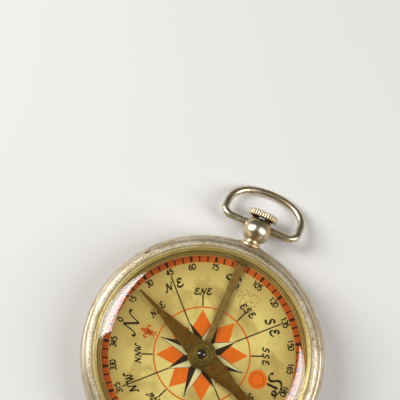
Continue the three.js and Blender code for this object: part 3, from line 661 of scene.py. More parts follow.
# North mark, as shares of its height: a petal, lines with the least and most width of the pen in
# millimetres and the turn of its nib, and bars with their width
MARK_PETAL = ((0, 1), (0.1, 0.84), (0.15, 0.66), (0.1, 0.46), (0.05, 0.3), (-0.05, 0.3),
              (-0.1, 0.46), (-0.15, 0.66), (-0.1, 0.84))
MARK_CURLS = ((((0.06, 0.3), (0.16, 0.56), (0.3, 0.64), (0.36, 0.52), (0.3, 0.44)),
               0.2, 0.4, QUARTER),
              (((0.05, 0.24), (0.1, 0.1), (0.2, 0.04)), 0.16, 0.3, 0))
MARK_BARS = ((((-0.2, 0.27), (0.2, 0.27)), 0.24), (((0, -0.1), (0, 0.24)), 0.16))

# Radii of the circle in the roundel, as shares of the roundel's own, and of its middle's pinprick
ROUNDEL_CIRCLE = (0.62, 0.74)
PINPRICK = 0.02 * MM

# Section of the ring's cone, in millimetres outwards and up from its upper outer edge
RING_SECTION = ((-0.22, 0), (-0.4, -0.02), (-0.7, -0.1), (-0.98, -0.22), (-1.14, -0.36),
                (-1.26, -0.55), (-1.38, -0.76), (-1.5, -0.93), (-1.52, -1.0), (-1.46, -1.02),
                (-1.34, -0.84), (-1.2, -0.62), (-1.0, -0.44), (-0.7, -0.32), (-0.25, -0.28))

# Width and pitch of the numerals as shares of their height, and their pen's least and most width
# as shares of the one that is set
NUMERAL_WIDTH, NUMERAL_PITCH = 1.12, 0.61
NUMERAL_PEN = (0.8, 1.1)

# Strokes of the numerals, as shares of their height, from the middle of the foot
NUMERAL_SHARES = {
    "0": [[(0, 1), (-0.2, 0.8), (-0.24, 0.5), (-0.2, 0.18), (0, 0), (0.2, 0.2), (0.24, 0.5),
           (0.2, 0.8), (0, 1)]],
    "1": [[(0.02, 1), (0.02, 0.5), (0.02, 0)], [(-0.16, 0.8), (0.02, 0.98)]],
    "2": [[(-0.22, 0.76), (-0.12, 0.96), (0.1, 0.98), (0.22, 0.78), (0.1, 0.45), (-0.24, 0.03)],
          [(-0.25, 0.03), (0.27, 0.03)]],
    "3": [[(-0.2, 0.9), (0, 1), (0.2, 0.86), (0.16, 0.62), (-0.04, 0.54)],
          [(-0.04, 0.54), (0.2, 0.42), (0.23, 0.17), (0, 0), (-0.23, 0.11)]],
    "4": [[(0.1, 1), (0.1, 0.5), (0.1, 0)], [(0.1, 1), (-0.27, 0.32)], [(-0.27, 0.3), (0.28, 0.3)]],
    "5": [[(0.2, 0.98), (-0.14, 0.98)], [(-0.14, 0.98), (-0.18, 0.57)],
          [(-0.18, 0.57), (0.04, 0.64), (0.22, 0.44), (0.2, 0.14), (-0.02, 0), (-0.21, 0.09)]],
    "6": [[(0.17, 0.95), (-0.1, 0.78), (-0.22, 0.4), (-0.13, 0.05), (0.1, 0.02), (0.22, 0.27),
           (0.1, 0.52), (-0.12, 0.48), (-0.2, 0.3)]],
    "7": [[(-0.23, 0.98), (0.24, 0.98)], [(0.24, 0.98), (0.02, 0.5), (-0.08, 0)]],
    "8": [[(0.02, 0.53), (-0.19, 0.7), (-0.12, 0.94), (0.04, 1), (0.19, 0.86), (0.12, 0.62),
           (-0.16, 0.4), (-0.22, 0.14), (0, 0), (0.22, 0.14), (0.19, 0.38), (0.02, 0.53)]],
    "9": [[(-0.17, 0.05), (0.1, 0.22), (0.22, 0.6), (0.13, 0.95), (-0.1, 0.98), (-0.22, 0.73),
           (-0.1, 0.48), (0.12, 0.52), (0.2, 0.7)]],
}

# Strokes of the round-hand letters, as shares of their height: for the smaller winds, and for the
# four main ones
LETTER_SHARES = {
    "N": [[(-0.52, 0.1), (-0.47, 0), (-0.36, 0.04), (-0.26, 0.35), (-0.14, 0.98)],
          [(-0.16, 1), (-0.02, 0.6), (0.19, 0)],
          [(0.19, 0), (0.3, 0.48), (0.43, 0.88), (0.6, 1)]],
    "E": [[(0.3, 0.76), (0.26, 0.93), (0.04, 1), (-0.17, 0.88), (-0.14, 0.67), (0.03, 0.56),
           (0.15, 0.57)],
          [(0.12, 0.57), (-0.12, 0.52), (-0.33, 0.32), (-0.28, 0.08), (-0.05, 0), (0.22, 0.06),
           (0.43, 0.24)]],
    "S": [[(0.3, 0.8), (0.24, 0.96), (0.02, 1), (-0.19, 0.86), (-0.12, 0.62), (0.12, 0.42),
           (0.18, 0.18), (0, 0.01), (-0.26, 0), (-0.42, 0.16)]],
    "W": [[(-0.56, 0.84), (-0.5, 0.98), (-0.38, 0.9), (-0.36, 0.4), (-0.28, 0.02)],
          [(-0.28, 0.02), (-0.12, 0.4), (-0.02, 0.96)],
          [(-0.02, 0.96), (0.0, 0.4), (0.1, 0.02)],
          [(0.1, 0.02), (0.3, 0.4), (0.36, 0.82), (0.5, 0.97), (0.74, 0.88)]],
}
LARGE_SHARES = {
    "N": [[(-0.64, 0.2), (-0.71, 0.1), (-0.62, -0.02), (-0.46, 0.06), (-0.35, 0.34), (-0.27, 0.7),
           (-0.18, 0.98)],
          [(-0.26, 0.88), (-0.16, 1), (0.02, 0.62), (0.3, 0.02)],
          [(0.3, 0.02), (0.43, 0.38), (0.57, 0.74), (0.72, 0.93), (0.88, 0.96), (0.94, 0.84)]],
    "E": [[(0.5, 0.76), (0.46, 0.95), (0.15, 1.04), (-0.4, 1.02), (-0.76, 0.86), (-0.74, 0.62),
           (-0.4, 0.52), (0, 0.55)],
          [(0, 0.55), (-0.24, 0.44), (-0.3, 0.16), (-0.05, 0), (0.34, 0.03), (0.54, 0.22),
           (0.46, 0.45)]],
    "S": [[(-0.76, 0.2), (-0.81, 0.08), (-0.66, 0), (-0.46, 0.01), (-0.29, 0.17), (-0.33, 0.4),
           (-0.47, 0.64), (-0.49, 0.86), (-0.32, 1.03), (0, 1.1), (0.32, 1.03), (0.56, 0.89),
           (0.55, 0.7), (0.4, 0.62), (0.27, 0.74), (0.4, 0.9), (0.62, 0.97), (0.82, 0.93)],
          [(0.04, 0.9), (0, 0.05)]],
    "W": [[(-0.8, 0.84), (-0.7, 1), (-0.52, 0.92), (-0.46, 0.45), (-0.34, 0.02)],
          [(-0.34, 0.02), (-0.14, 0.45), (-0.02, 0.98)],
          [(-0.02, 0.98), (0.0, 0.45), (0.14, 0.02)],
          [(0.14, 0.02), (0.38, 0.45), (0.46, 0.85), (0.62, 1), (0.9, 0.88)]],
}

# Degrees and letters of the winds, and the degrees from one to the next
HALF_WIND = 22.5
MAIN_WINDS = {0: "N", 90: "E", 180: "S", 270: "W"}
PAIR_WINDS = {45: "NE", 135: "SE", 225: "SW", 315: "NW"}
HALF_WINDS = {22.5: "NNE", 67.5: "ENE", 112.5: "ESE", 157.5: "SSE", 202.5: "SSW", 247.5: "WSW",
              292.5: "WNW", 337.5: "NNW"}


# Finishes


def darker(colour, part):
    """A colour with each of its values times a part: over 1 it is brighter."""
    return [value * part for value in colour]


class Finish:
    """Builds the nodes of one material."""

    def __init__(self, name):
        self.material = bpy.data.materials.new(name)
        self.material.use_nodes = True
        self.tree = self.material.node_tree
        self.tree.nodes.clear()
        self.place = self.add("TexCoord").outputs["Object"]

    def add(self, kind, inputs=None, **settings):
        """A node of a kind, with its settings and what goes into its sockets."""
        node = self.tree.nodes.new("ShaderNode" + kind)
        for key, value in settings.items():
            setattr(node, key, value)
        for key, value in (inputs or {}).items():
            self.feed(node.inputs[key], value)
        return node

    def feed(self, socket, value):
        """Links an output to a socket, or sets a plain value on it."""
        if isinstance(value, bpy.types.NodeSocket):
            self.tree.links.new(value, socket)
        else:
            socket.default_value = value

    def noise(self, grain, detail=3.0, roughness=0.5, place=None, warp=0.0):
        """Noise in patches about a grain across."""
        return self.add("TexNoise", {
            "Vector": place or self.place, "Scale": 1 / grain, "Detail": detail,
            "Roughness": roughness, "Distortion": warp}).outputs[0]

    def cells(self, grain):
        """Distance to the middle of the nearest of many scattered cells."""
        cells = self.add("TexVoronoi", {"Vector": self.place, "Scale": 1 / grain})
        return cells.outputs["Distance"]

    def step(self, value, low, high, start=0.0, end=1.0):
        """Carries a value smoothly from start, at low, to end, at high."""
        ends = {"From Min": low, "From Max": high, "To Min": start, "To Max": end}
        return self.add("MapRange", {"Value": value, **ends},
                        interpolation_type="SMOOTHSTEP").outputs[0]

    def sum(self, a, b, operation="ADD"):
        """Two values added, or joined by another operation."""
        return self.add("Math", {0: a, 1: b}, operation=operation).outputs[0]

    def times(self, a, b):
        """One value times another."""
        return self.sum(a, b, "MULTIPLY")

    def mix(self, amount, a, b):
        """One colour with an amount of another over it."""
        node = self.add("Mix", data_type="RGBA")
        self.feed(node.inputs[0], amount)
        for socket, colour in ((node.inputs[6], a), (node.inputs[7], b)):
            self.feed(socket, colour if isinstance(colour, bpy.types.NodeSocket) else (*colour, 1))
        return node.outputs[2]

    def vector(self, a, b, operation):
        """Two vectors joined by an operation."""
        return self.add("VectorMath", {0: a, 1: b}, operation=operation).outputs[0]

    def stretched(self, x, y, z):
        """The place with its axes multiplied: grain runs along the axis with the least."""
        return self.vector(self.place, (x, y, z), "MULTIPLY")

    def radius(self, centre=(0, 0, 0), across=(1, 1, 0)):
        """Distance from a line through a point; across is 0 along that line."""
        flat = self.vector(self.vector(self.place, centre, "SUBTRACT"), across, "MULTIPLY")
        return self.add("VectorMath", {0: flat}, operation="LENGTH").outputs["Value"]

    def along(self, axis):
        """The place along one axis."""
        return self.add("SeparateXYZ", {0: self.place}).outputs[axis]

    def bump(self, height, depth):
        """A surface that rises and falls by the depth with the height."""
        return self.add("Bump", {"Height": height, "Distance": depth}).outputs[0]

    def finish(self, colour, roughness, relief, depth, **sockets):
        """Puts the shader on the surface."""
        inputs = {"Base Color": colour, "Roughness": roughness, "Normal": self.bump(relief, depth)}
        for key, value in sockets.items():
            inputs[key.replace("_", " ").title().replace("Ior", "IOR")] = value
        shader = self.add("BsdfPrincipled", inputs)
        self.add("OutputMaterial", {"Surface": shader.outputs[0]})
        return self.material


def nickel(name, case, rough, wear, pits, crown=None):
    """Old nickel: yellowed in patches, pitted and finely scratched; on a crown, painted shade
    darkens the grooves.
    """
    f = Finish(name)
    patches = f.step(f.noise(5.5 * MM, 5, 0.62, warp=0.4), 0.42, 0.66)
    grain = f.noise(0.09 * MM, 2, 0.6)
    scratch = f.noise(0.5 * MM, 3, 0.6, place=f.stretched(1, 9, 3))
    crust = f.step(f.noise(1.9 * MM, 4, 0.65), 0.50, 0.68)
    zones = f.step(f.noise(2.6 * MM, 3), 0.42, 0.62)
    pit = f.times(f.step(f.noise(0.21 * MM, 2.5, 0.6), 0.56, 0.66), zones)
    pit = f.times(pit, pits)
    colour = f.mix(f.times(patches, wear), case.nickel, case.tarnish)
    colour = f.mix(f.times(crust, wear * 0.55), colour, darker(case.tarnish, 0.45))
    colour = f.mix(pit, colour, case.pit)
    # Painted shade: on a crown, the pit colour darkens the grooves along its ridged side.
    if crown:
        face = 0.06 * MM
        along = f.along("Y")
        side = f.times(f.step(along, crown.crown_start, crown.crown_start + face),
                       f.step(along, crown.crown_end, crown.crown_end - face))
        away = f.radius((0, 0, STEM_HEIGHT), (1, 0, 1))
        groove = f.step(away, crown.crown - 0.01 * MM, crown.crown - crown.tooth * 0.7)
        colour = f.mix(f.times(groove, side), colour, case.pit)
    level = f.sum(f.step(scratch, 0.35, 0.7, rough, rough + 0.10), f.times(patches, 0.10 * wear))
    level = f.sum(level, f.times(pit, 0.35))
    relief = f.sum(f.times(pit, -1.0), f.sum(f.times(grain, 0.16), f.times(scratch, 0.12)))
    return f.finish(colour, level, relief, 0.03 * MM, metallic=1.0)


def notch_place(settings):
    """Middle of the round cutter that makes the pry notch."""
    case, bezel = settings.case, settings.bezel
    reach = case.seam + bezel.notch_radius - bezel.notch_depth
    return -math.sin(bezel.notch_turn) * reach, math.cos(bezel.notch_turn) * reach, 0


def bezel_nickel(settings):
    """Nickel of the bezel, finely pitted, with a painted reflection of the ring's brass, in dull
    brass, on the slope inside its crest and on its lip, and painted shade in and round the pry
    notch.
    """
    case, bezel = settings.case, settings.bezel
    f = Finish("bezel_nickel")
    radius = f.radius()
    wander = f.sum(radius, f.times(f.noise(0.8 * MM, 4, 0.7), 0.35 * MM))
    slope = f.step(wander, bezel.crest, bezel.crest - 0.3 * MM)
    line = f.times(f.step(wander, bezel.crest - 0.32 * MM, bezel.crest - 0.2 * MM),
                   f.step(wander, bezel.crest + 0.05 * MM, bezel.crest - 0.08 * MM))
    # The lip's edge, which takes a painted reflection of the ring's brass.
    edge = f.step(radius, bezel.lip + 0.16 * MM, bezel.lip + 0.04 * MM)
    patches = f.step(f.noise(5.0 * MM, 5, 0.62, warp=0.4), 0.40, 0.66)
    zones = f.step(f.noise(2.8 * MM, 3, 0.6), 0.34, 0.56)
    near = f.times(f.step(radius, bezel.crest - 0.3 * MM, bezel.crest),
                   f.step(radius, bezel.crest + 0.9 * MM, bezel.crest + 0.2 * MM))
    pit = f.sum(f.times(f.step(f.noise(0.17 * MM, 3, 0.62), 0.53, 0.64), zones),
                f.times(f.step(f.noise(0.24 * MM, 3, 0.68), 0.48, 0.60), near), "MAXIMUM")
    grain = f.noise(0.13 * MM, 3, 0.7)
    rounds = f.add("CombineXYZ", {0: radius, 1: f.along("Z")}).outputs[0]
    lines = f.noise(0.14 * MM, 2, 0.5, place=rounds)
    colour = f.mix(f.times(patches, 0.8), case.nickel, case.tarnish)
    # Painted reflection: the slope inside the crest and the lip's edge take the brass colour of the
    # dial's ring.
    colour = f.mix(f.times(slope, 0.85), colour, bezel.slope)
    colour = f.mix(f.times(line, 0.6), colour, darker(bezel.slope, 0.2))
    colour = f.mix(f.times(edge, 0.9), colour, settings.dial.brass)
    colour = f.mix(f.times(pit, 0.85), colour, case.pit)
    # Painted shade: the pit colour darkens the bezel in and round the pry notch.
    pry = f.step(f.sum(f.radius(notch_place(settings)), f.times(grain, 0.25 * MM)),
                 bezel.notch_radius + 0.35 * MM, bezel.notch_radius + 0.15 * MM)
    colour = f.mix(f.times(pry, 0.9), colour, case.pit)
    level = f.sum(f.step(f.noise(1.3 * MM, 4, 0.6), 0.3, 0.7, 0.22, 0.34),
                  f.step(f.noise(0.17 * MM, 3, 0.7), 0.38, 0.62, 0.04, 0.30))
    relief = f.sum(f.times(pit, -0.5), f.sum(grain, f.times(lines, 0.3)))
    # The slope is less metallic, so that its painted reflection shows in diffuse light.
    return f.finish(colour, level, relief, 0.026 * MM, metallic=f.step(slope, 0, 1, 1.0, 0.5))


def brass(name, colour, rough):
    """Plain brass, dulled in patches, with fine marks."""
    f = Finish(name)
    patches = f.step(f.noise(2.4 * MM, 5, 0.6), 0.38, 0.68)
    marks = f.noise(0.12 * MM, 3, 0.6, place=f.stretched(1, 5, 1))
    level = f.sum(f.step(patches, 0, 1, rough, rough + 0.18), f.times(marks, 0.08))
    tone = f.mix(patches, colour, darker(colour, 0.6))
    return f.finish(tone, level, f.sum(marks, patches), 0.01 * MM, metallic=1.0)


def ring_brass(dial):
    """Brass of the dial's ring: a pale foot, a dark line round its bend and a bright cone."""
    f = Finish("ring_brass")
    radius = f.sum(f.radius(), f.times(f.noise(0.9 * MM, 4, 0.65), 0.10 * MM))
    soft = 0.1 * MM
    line = f.times(f.step(radius, dial.dark_inner, dial.dark_inner + soft),
                   f.step(radius, dial.dark_outer, dial.dark_outer - soft))
    patches = f.step(f.noise(2.0 * MM, 5, 0.62), 0.40, 0.66)
    spots = f.step(f.noise(0.22 * MM, 3, 0.6), 0.58, 0.70)
    colour = f.mix(f.times(patches, 0.5), dial.brass, darker(dial.brass, 0.62))
    colour = f.mix(f.times(spots, 0.4), colour, dial.patina)
    colour = f.mix(f.times(line, 0.9), colour, dial.patina)
    level = f.step(f.noise(0.6 * MM, 4, 0.6), 0.3, 0.7, 0.40, 0.58)
    return f.finish(colour, level, f.sum(spots, f.noise(0.08 * MM, 2)), 0.010 * MM, metallic=0.5)


def steel(name, works, rough):
    """Steel with fine turning marks and a little brown."""
    f = Finish(name)
    lines = f.noise(0.07 * MM, 2, 0.6, place=f.stretched(0.3, 4, 0.3))
    rust = f.step(f.noise(0.9 * MM, 5, 0.65), 0.58, 0.74)
    tone = f.mix(f.times(rust, 0.7), works.steel, works.rust)
    level = f.sum(f.step(lines, 0.3, 0.7, rough, rough + 0.12), f.times(rust, 0.25))
    return f.finish(tone, level, f.sum(lines, rust), 0.008 * MM, metallic=1.0)


# Middles and reaches of painted shade on the card, in millimetres from the middle of the dial
CARD_SHADE_PATCHES = ((-12.5, 3, 15), (11, -2.5, 13))
MOULD_PATCH = (3.6, 12.6, 3.6)


def card_tone(f, dial):
    """Aged card: darker and greener in clouds, with specks and foxing; painted shade makes it
    darker and greener towards the rim and in two broad patches.
    """
    radius = f.radius()
    clouds = f.noise(6.5 * MM, 4, 0.55, warp=0.5)
    # Painted shade: darker towards the rim.
    rim = f.step(f.sum(radius, f.times(clouds, 6 * MM)), 13.0 * MM, 20.5 * MM, 0.0, 0.8)
    dark = f.sum(f.step(clouds, 0.42, 0.68, 0.0, 0.85), rim, "MAXIMUM")
    tone = f.mix(dark, dial.card, dial.card_dark)
    # Painted shade: two broad patches of darker card.
    for x, y, reach in CARD_SHADE_PATCHES:
        away = f.sum(f.radius((x * MM, y * MM, 0)), f.times(clouds, 8 * MM))
        stain = f.step(away, reach * MM, 5 * MM)
        tone = f.mix(f.times(stain, 0.75), tone, dial.card_dark)
    fibre = f.step(f.noise(0.16 * MM, 3, 0.7), 0.35, 0.75, 0.0, 0.36)
    tone = f.mix(fibre, tone, darker(dial.card, 0.55))
    some = f.step(f.noise(1.3 * MM, 2), 0.55, 0.62)
    dots = f.times(f.step(f.cells(0.62 * MM), 0.15, 0.09), some)
    tone = f.mix(f.times(dots, 0.65), tone, dial.fox)
    x, y, reach = MOULD_PATCH
    near = f.step(f.radius((x * MM, y * MM, 0)), reach * MM, 0.8 * MM)
    mould = f.times(f.step(f.noise(0.34 * MM, 4, 0.72), 0.515, 0.585), near)
    return f.mix(f.times(mould, 0.85), tone, dial.fox)


def card(dial):
    """Finish of the aged card."""
    f = Finish("aged_card")
    relief = f.sum(f.noise(0.10 * MM, 3, 0.7), f.noise(1.4 * MM, 2, 0.5))
    level = f.step(f.noise(1.0 * MM, 3), 0.3, 0.7, 0.42, 0.60)
    return f.finish(card_tone(f, dial), level, relief, 0.006 * MM, specular_ior_level=0.15)


def ink(name, dial, colour, fade):
    """Old ink that lets the card show where it has faded or rubbed away."""
    f = Finish(name)
    rubbed = f.step(f.noise(0.11 * MM, 4, 0.75), 0.56, 0.74, 0.0, fade)
    clouds = f.step(f.noise(1.5 * MM, 4, 0.6), 0.40, 0.72, 0.0, fade * 0.6)
    tone = f.mix(clouds, colour, darker(colour, 0.72))
    tone = f.mix(rubbed, tone, card_tone(f, dial))
    level = f.step(f.noise(0.5 * MM, 3), 0.3, 0.7, 0.5, 0.66)
    return f.finish(tone, level, f.noise(0.07 * MM, 3, 0.7), 0.004 * MM, specular_ior_level=0.1)


def bronzed(needle):
    """Bronzed steel, mottled, rubbed bright in small places."""
    f = Finish("needle_bronzing")
    mottle = f.step(f.noise(0.75 * MM, 5, 0.7), 0.36, 0.70)
    worn = f.step(f.noise(0.28 * MM, 4, 0.7), 0.56, 0.70, 0.0, 0.7)
    clouds = f.step(f.noise(3.2 * MM, 3), 0.45, 0.70)
    tone = f.mix(mottle, needle.bronze, darker(needle.bronze, 0.5))
    grey = f.step(f.noise(1.1 * MM, 4, 0.65), 0.50, 0.64, 0.0, 0.75)
    tone = f.mix(grey, tone, needle.olive)
    tone = f.mix(f.step(f.radius(), 3.4 * MM, 1.6 * MM, 0.0, 0.65), tone, needle.dull)
    tone = f.mix(f.times(worn, f.sum(f.times(clouds, 0.7), 0.3)), tone, needle.worn)
    level = f.step(f.noise(0.4 * MM, 4), 0.3, 0.7, 0.36, 0.58)
    relief = f.sum(f.noise(0.14 * MM, 4, 0.7), mottle)
    return f.finish(tone, level, relief, 0.014 * MM, metallic=0.9, specular_ior_level=0.2)


def lever_brass(lever):
    """Brass strip gone brown, streaked along its length."""
    f = Finish("lever_brass")
    streak = f.step(f.noise(0.5 * MM, 5, 0.65, place=f.stretched(1, 0.28, 1)), 0.36, 0.66)
    stain = f.step(f.noise(1.6 * MM, 4, 0.6), 0.46, 0.66)
    spots = f.step(f.noise(0.16 * MM, 3, 0.65), 0.58, 0.70)
    tone = f.mix(streak, lever.brass, lever.brown)
    grime = f.step(f.noise(0.9 * MM, 4, 0.65), 0.48, 0.62, 0.0, 0.6)
    tone = f.mix(grime, tone, darker(lever.brown, 0.7))
    tone = f.mix(f.times(stain, 0.6), tone, lever.brown)
    tone = f.mix(f.times(spots, 0.5), tone, darker(lever.brown, 0.4))
    level = f.step(streak, 0, 1, 0.38, 0.58)
    return f.finish(tone, level, f.sum(f.times(spots, -1.0), streak), 0.012 * MM, metallic=0.7)


def crystal_glass(crystal):
    """Clear old glass, faintly smeared, which lets the light of the lamps and the card through."""
    f = Finish("crystal_glass")
    smear = f.step(f.noise(3.0 * MM, 5, 0.6, place=f.stretched(1, 2.5, 1)), 0.45, 0.75, 0.0, 0.035)
    scratch = f.noise(0.5 * MM, 3, 0.6, place=f.stretched(6, 0.4, 1))
    surface = f.add("BsdfPrincipled", {
        "Base Color": (*crystal.glass, 1), "Roughness": smear, "IOR": 1.5,
        "Transmission Weight": 1.0, "Normal": f.bump(scratch, 0.0006 * MM)}).outputs[0]
    through = f.add("BsdfTransparent", {"Color": (*crystal.glass, 1)}).outputs[0]
    path = f.add("LightPath").outputs
    for kind in ("Is Shadow Ray", "Is Diffuse Ray"):
        surface = f.add("MixShader", {0: path[kind], 1: surface, 2: through}).outputs[0]
    f.add("OutputMaterial", {"Surface": surface})
    return f.material


def floor_paper(colour):
    """Plain pale paper."""
    f = Finish("floor_paper")
    grain = f.noise(30 * MM, 4)
    tone = f.mix(f.times(grain, 0.1), colour, darker(colour, 0.96))
    level = f.step(grain, 0.3, 0.7, 0.85, 0.95)
    return f.finish(tone, level, f.noise(1.0 * MM, 2), 0.01 * MM)


def stone(needle):
    """Polished dark stone with paler veins."""
    f = Finish("jewel_stone")
    veins = f.step(f.noise(0.35 * MM, 4, 0.6), 0.5, 0.7)
    tone = f.mix(veins, needle.stone, darker(needle.stone, 3))
    return f.finish(tone, f.step(veins, 0, 1, 0.04, 0.09), veins, 0.0005 * MM, ior=1.76)


def finish_of(name, maker, *values):
    """A material made once and then shared."""
    return bpy.data.materials.get(name) or maker(*values)


def case_nickel(settings):
    """Nickel of the cup."""
    return finish_of("case_nickel", nickel, "case_nickel", settings.case, 0.36, 0.62, 0.75)


def bright_nickel(settings):
    """Nickel of the pendant and the bow, which hands have rubbed."""
    return finish_of("bright_nickel", nickel, "bright_nickel", settings.case, 0.25, 0.9, 0.35)


def crown_nickel(settings):
    """Nickel of the crown, with painted shade in its grooves."""
    return finish_of("crown_nickel", nickel, "crown_nickel", settings.case, 0.34, 0.5, 0.35,
                     settings.pendant)


def ink_of(settings, name):
    """Ink of one of the print's colours."""
    dial = settings.dial
    rust = [0.35 * red + 0.65 * orange for red, orange in zip(dial.red, dial.orange)]
    colour, fade = {"black": (dial.black, 0.3), "red": (dial.red, 0.3), "cream": (dial.cream, 0.3),
                    "orange": (dial.orange, 0.4), "rust": (rust, 0.35)}[name]
    return finish_of(f"ink_{name}", ink, f"ink_{name}", dial, colour, fade)


def steel_finish(settings):
    """Steel of the stem, the spring and the screws."""
    return finish_of("plain_steel", steel, "plain_steel", settings.works, 0.26)


def brass_finish(settings):
    """Brass of the works."""
    return finish_of("plain_brass", brass, "plain_brass", settings.works.brass, 0.3)


def layer(settings, number):
    """Bottom and top of a layer of ink: each bites a little into the card."""
    thick = settings.dial.layer
    return DIAL_TOP - thick, DIAL_TOP + thick * number


def printed(name, bm, settings, colour):
    """A layer of print on the card."""
    return dress(as_object(name, bm), ink_of(settings, colour), "case", "printed_card")


def print_ring(name, settings, colour, inner, outer, level=1, centre=(0, 0), steps=240):
    """A flat ring of ink."""
    bm = bmesh.new()
    hoop(bm, inner, outer, *layer(settings, level), steps=steps)
    bmesh.ops.translate(bm, verts=bm.verts[:], vec=(*centre, 0))
    return printed(name, bm, settings, colour)


# Operators


class COMPASS_OT_stage(bpy.types.Operator):
    """Makes the floor, the two soft lamps, the surroundings and the camera"""
    bl_idname = "compass.stage"
    bl_label = "Stage"

    def execute(self, context):
        scene = context.scene
        stage = scene.compass.stage
        up = Vector((-math.sin(stage.roll), math.cos(stage.roll), 0))
        right = Vector((math.cos(stage.roll), math.sin(stage.roll), 0))

        bm = bmesh.new()
        bmesh.ops.create_grid(bm, x_segments=8, y_segments=8, size=stage.floor_size / 2)
        bmesh.ops.translate(bm, vec=(0, 0, -stage.floor_gap), verts=bm.verts[:])
        floor = as_object("floor", bm)
        floor.data.materials.append(floor_paper(stage.floor))

        world = bpy.data.worlds.new("soft_studio")
        world.use_nodes = True
        world.node_tree.nodes["Background"].inputs[0].default_value = (*stage.world, 1)
        scene.world = world

        for side, way in (("left", -1), ("right", 1)):
            name = f"{side}_lamp"
            power, turn, tilt, width, height, spin = (
                getattr(stage, f"{side}_{key}")
                for key in ("power", "turn", "tilt", "width", "height", "spin"))
            data = bpy.data.lights.new(name, "AREA")
            data.shape, data.size, data.size_y, data.energy = "RECTANGLE", width, height, power
            lamp = bpy.data.objects.new(name, data)
            scene.collection.objects.link(lamp)
            across = up * math.cos(turn) + right * math.sin(turn) * way
            back = (across * math.sin(tilt) + Vector((0, 0, math.cos(tilt)))).normalized()
            level = Vector((0, 0, 1)).cross(back).normalized()
            level = level * math.cos(spin) + back.cross(level) * math.sin(spin)
            self.aim(lamp, back * stage.distance, level, back)

        data = bpy.data.cameras.new("camera")
        data.lens, data.sensor_width, data.clip_start = stage.lens, SENSOR_WIDTH, 10 * MM
        camera = bpy.data.objects.new("camera", data)
        scene.collection.objects.link(camera)
        back = (Vector(stage.place) - Vector(stage.target)).normalized()
        self.aim(camera, Vector(stage.place), up.cross(back).normalized(), back)
        scene.camera = camera
        scene.view_settings.view_transform = "Standard"
        return {"FINISHED"}

    @staticmethod
    def aim(thing, place, side, back):
        """Puts a lamp or camera at a place, with its back and its right side that way."""
        turn = Matrix((side, back.cross(side), back)).transposed()
        thing.matrix_world = Matrix.Translation(place) @ turn.to_4x4()


class COMPASS_OT_case(bpy.types.Operator):
    """Makes the cup of the case"""
    bl_idname = "compass.case"
    bl_label = "Case"

    def execute(self, context):
        settings = context.scene.compass
        case, stage = settings.case, settings.stage
        edge, inner = case.radius - case.back, case.neck - case.wall
        middle = STEM_HEIGHT
        outline = [
            (0, 0),
            *arc((case.back, middle), edge, middle, -QUARTER, 0, 26),
            *arc((case.seam, middle), case.radius - case.seam, case.seam_height - middle,
                 0, QUARTER, 16)[1:],
            (case.neck, case.seam_height),
            (case.neck, case.neck_top),
            (inner, case.neck_top),
            *arc((inner, middle), case.radius - case.wall - inner,
                 case.seam_height - case.wall - middle, QUARTER, 0, 10),
            *arc((case.back, middle), edge - case.wall, middle - case.wall, 0, -QUARTER, 14)[1:],
            (0, case.wall),
        ]
        bm = turned(outline, WIDE_STEPS)
        turn = stage.roll + case.dent_turn
        dent = Vector((-math.sin(turn), math.cos(turn), 0)) * case.radius
        dent.z = case.dent_height
        for vert in bm.verts:
            near = (vert.co - dent).length / case.dent_width
            if near < 1:
                push = case.dent * (1 - near ** 2) ** 2
                vert.co.xy -= vert.co.xy.normalized() * push
        piece = as_object("case_cup", bm)
        carve(piece, rod(case.hole, inner, case.radius + CLEAR, 48, along_y=True, height=middle))
        dress(piece, case_nickel(settings), "case", "nickel_plate", "case_body")
        return {"FINISHED"}


class COMPASS_OT_bezel(bpy.types.Operator):
    """Makes the bezel, with its pry notch"""
    bl_idname = "compass.bezel"
    bl_label = "Bezel"

    def execute(self, context):
        settings = context.scene.compass
        bezel, case = settings.bezel, settings.case
        shoulder = bezel.foot + bezel.side
        outline = [
            (bezel.inside, bezel.foot),
            *arc((case.seam - bezel.edge, bezel.foot + bezel.edge), bezel.edge, bezel.edge,
                 -QUARTER, 0, 5),
            *[(case.seam, z) for z in spread(bezel.foot + bezel.edge, shoulder, 6)[1:-1]],
            *arc((bezel.crest, shoulder), case.seam - bezel.crest, bezel.crest_height - shoulder,
                 0, QUARTER, 20),
            *arc((bezel.crest, bezel.lip_top), bezel.crest - bezel.lip,
                 bezel.crest_height - bezel.lip_top, QUARTER, QUARTER * 2, 12)[1:],
            (bezel.lip, bezel.lip_bottom),
            (bezel.groove, bezel.lip_bottom),
            (bezel.groove, bezel.inside_top),
            (bezel.inside, bezel.inside_top),
        ]
        bm = turned(outline, BEZEL_STEPS)
        uneven(bm, bezel.uneven, bezel.uneven_grain, WEAR_SEED)
        piece = as_object("bezel_ring", bm)
        notch = rod(bezel.notch_radius, 0, bezel.foot + bezel.notch_height, 40)
        bmesh.ops.translate(notch, verts=notch.verts[:], vec=notch_place(settings))
        carve(piece, notch)
        finish = finish_of("bezel_nickel", bezel_nickel, settings)
        dress(piece, finish, "case", "nickel_plate", "bezel")
        return {"FINISHED"}


class COMPASS_OT_crystal(bpy.types.Operator):
    """Makes the domed crystal"""
    bl_idname = "compass.crystal"
    bl_label = "Crystal"

    def execute(self, context):
        crystal = context.scene.compass.crystal
        top = crystal.seat + crystal.flange

        def dome(radius, edge, middle):
            """A side of the dome, from its middle to its edge."""
            shares = [math.sin(t) for t in spread(0, QUARTER, 44)]
            rises = [max(0, 1 - s ** crystal.fall) ** (1 / crystal.steep) for s in shares]
            return [(radius * s, edge + (middle - edge) * rise) for s, rise in zip(shares, rises)]

        inner = dome(crystal.dome - crystal.wall, crystal.seat, top + crystal.rise - crystal.wall)
        outer = dome(crystal.dome, top, top + crystal.rise)
        outline = [*inner, (crystal.edge, crystal.seat), (crystal.edge, top), *outer[::-1]]
        piece = as_object("crystal_dome", turned(outline, WIDE_STEPS))
        dress(piece, finish_of("crystal_glass", crystal_glass, crystal), "case", "glass", "crystal")
        return {"FINISHED"}


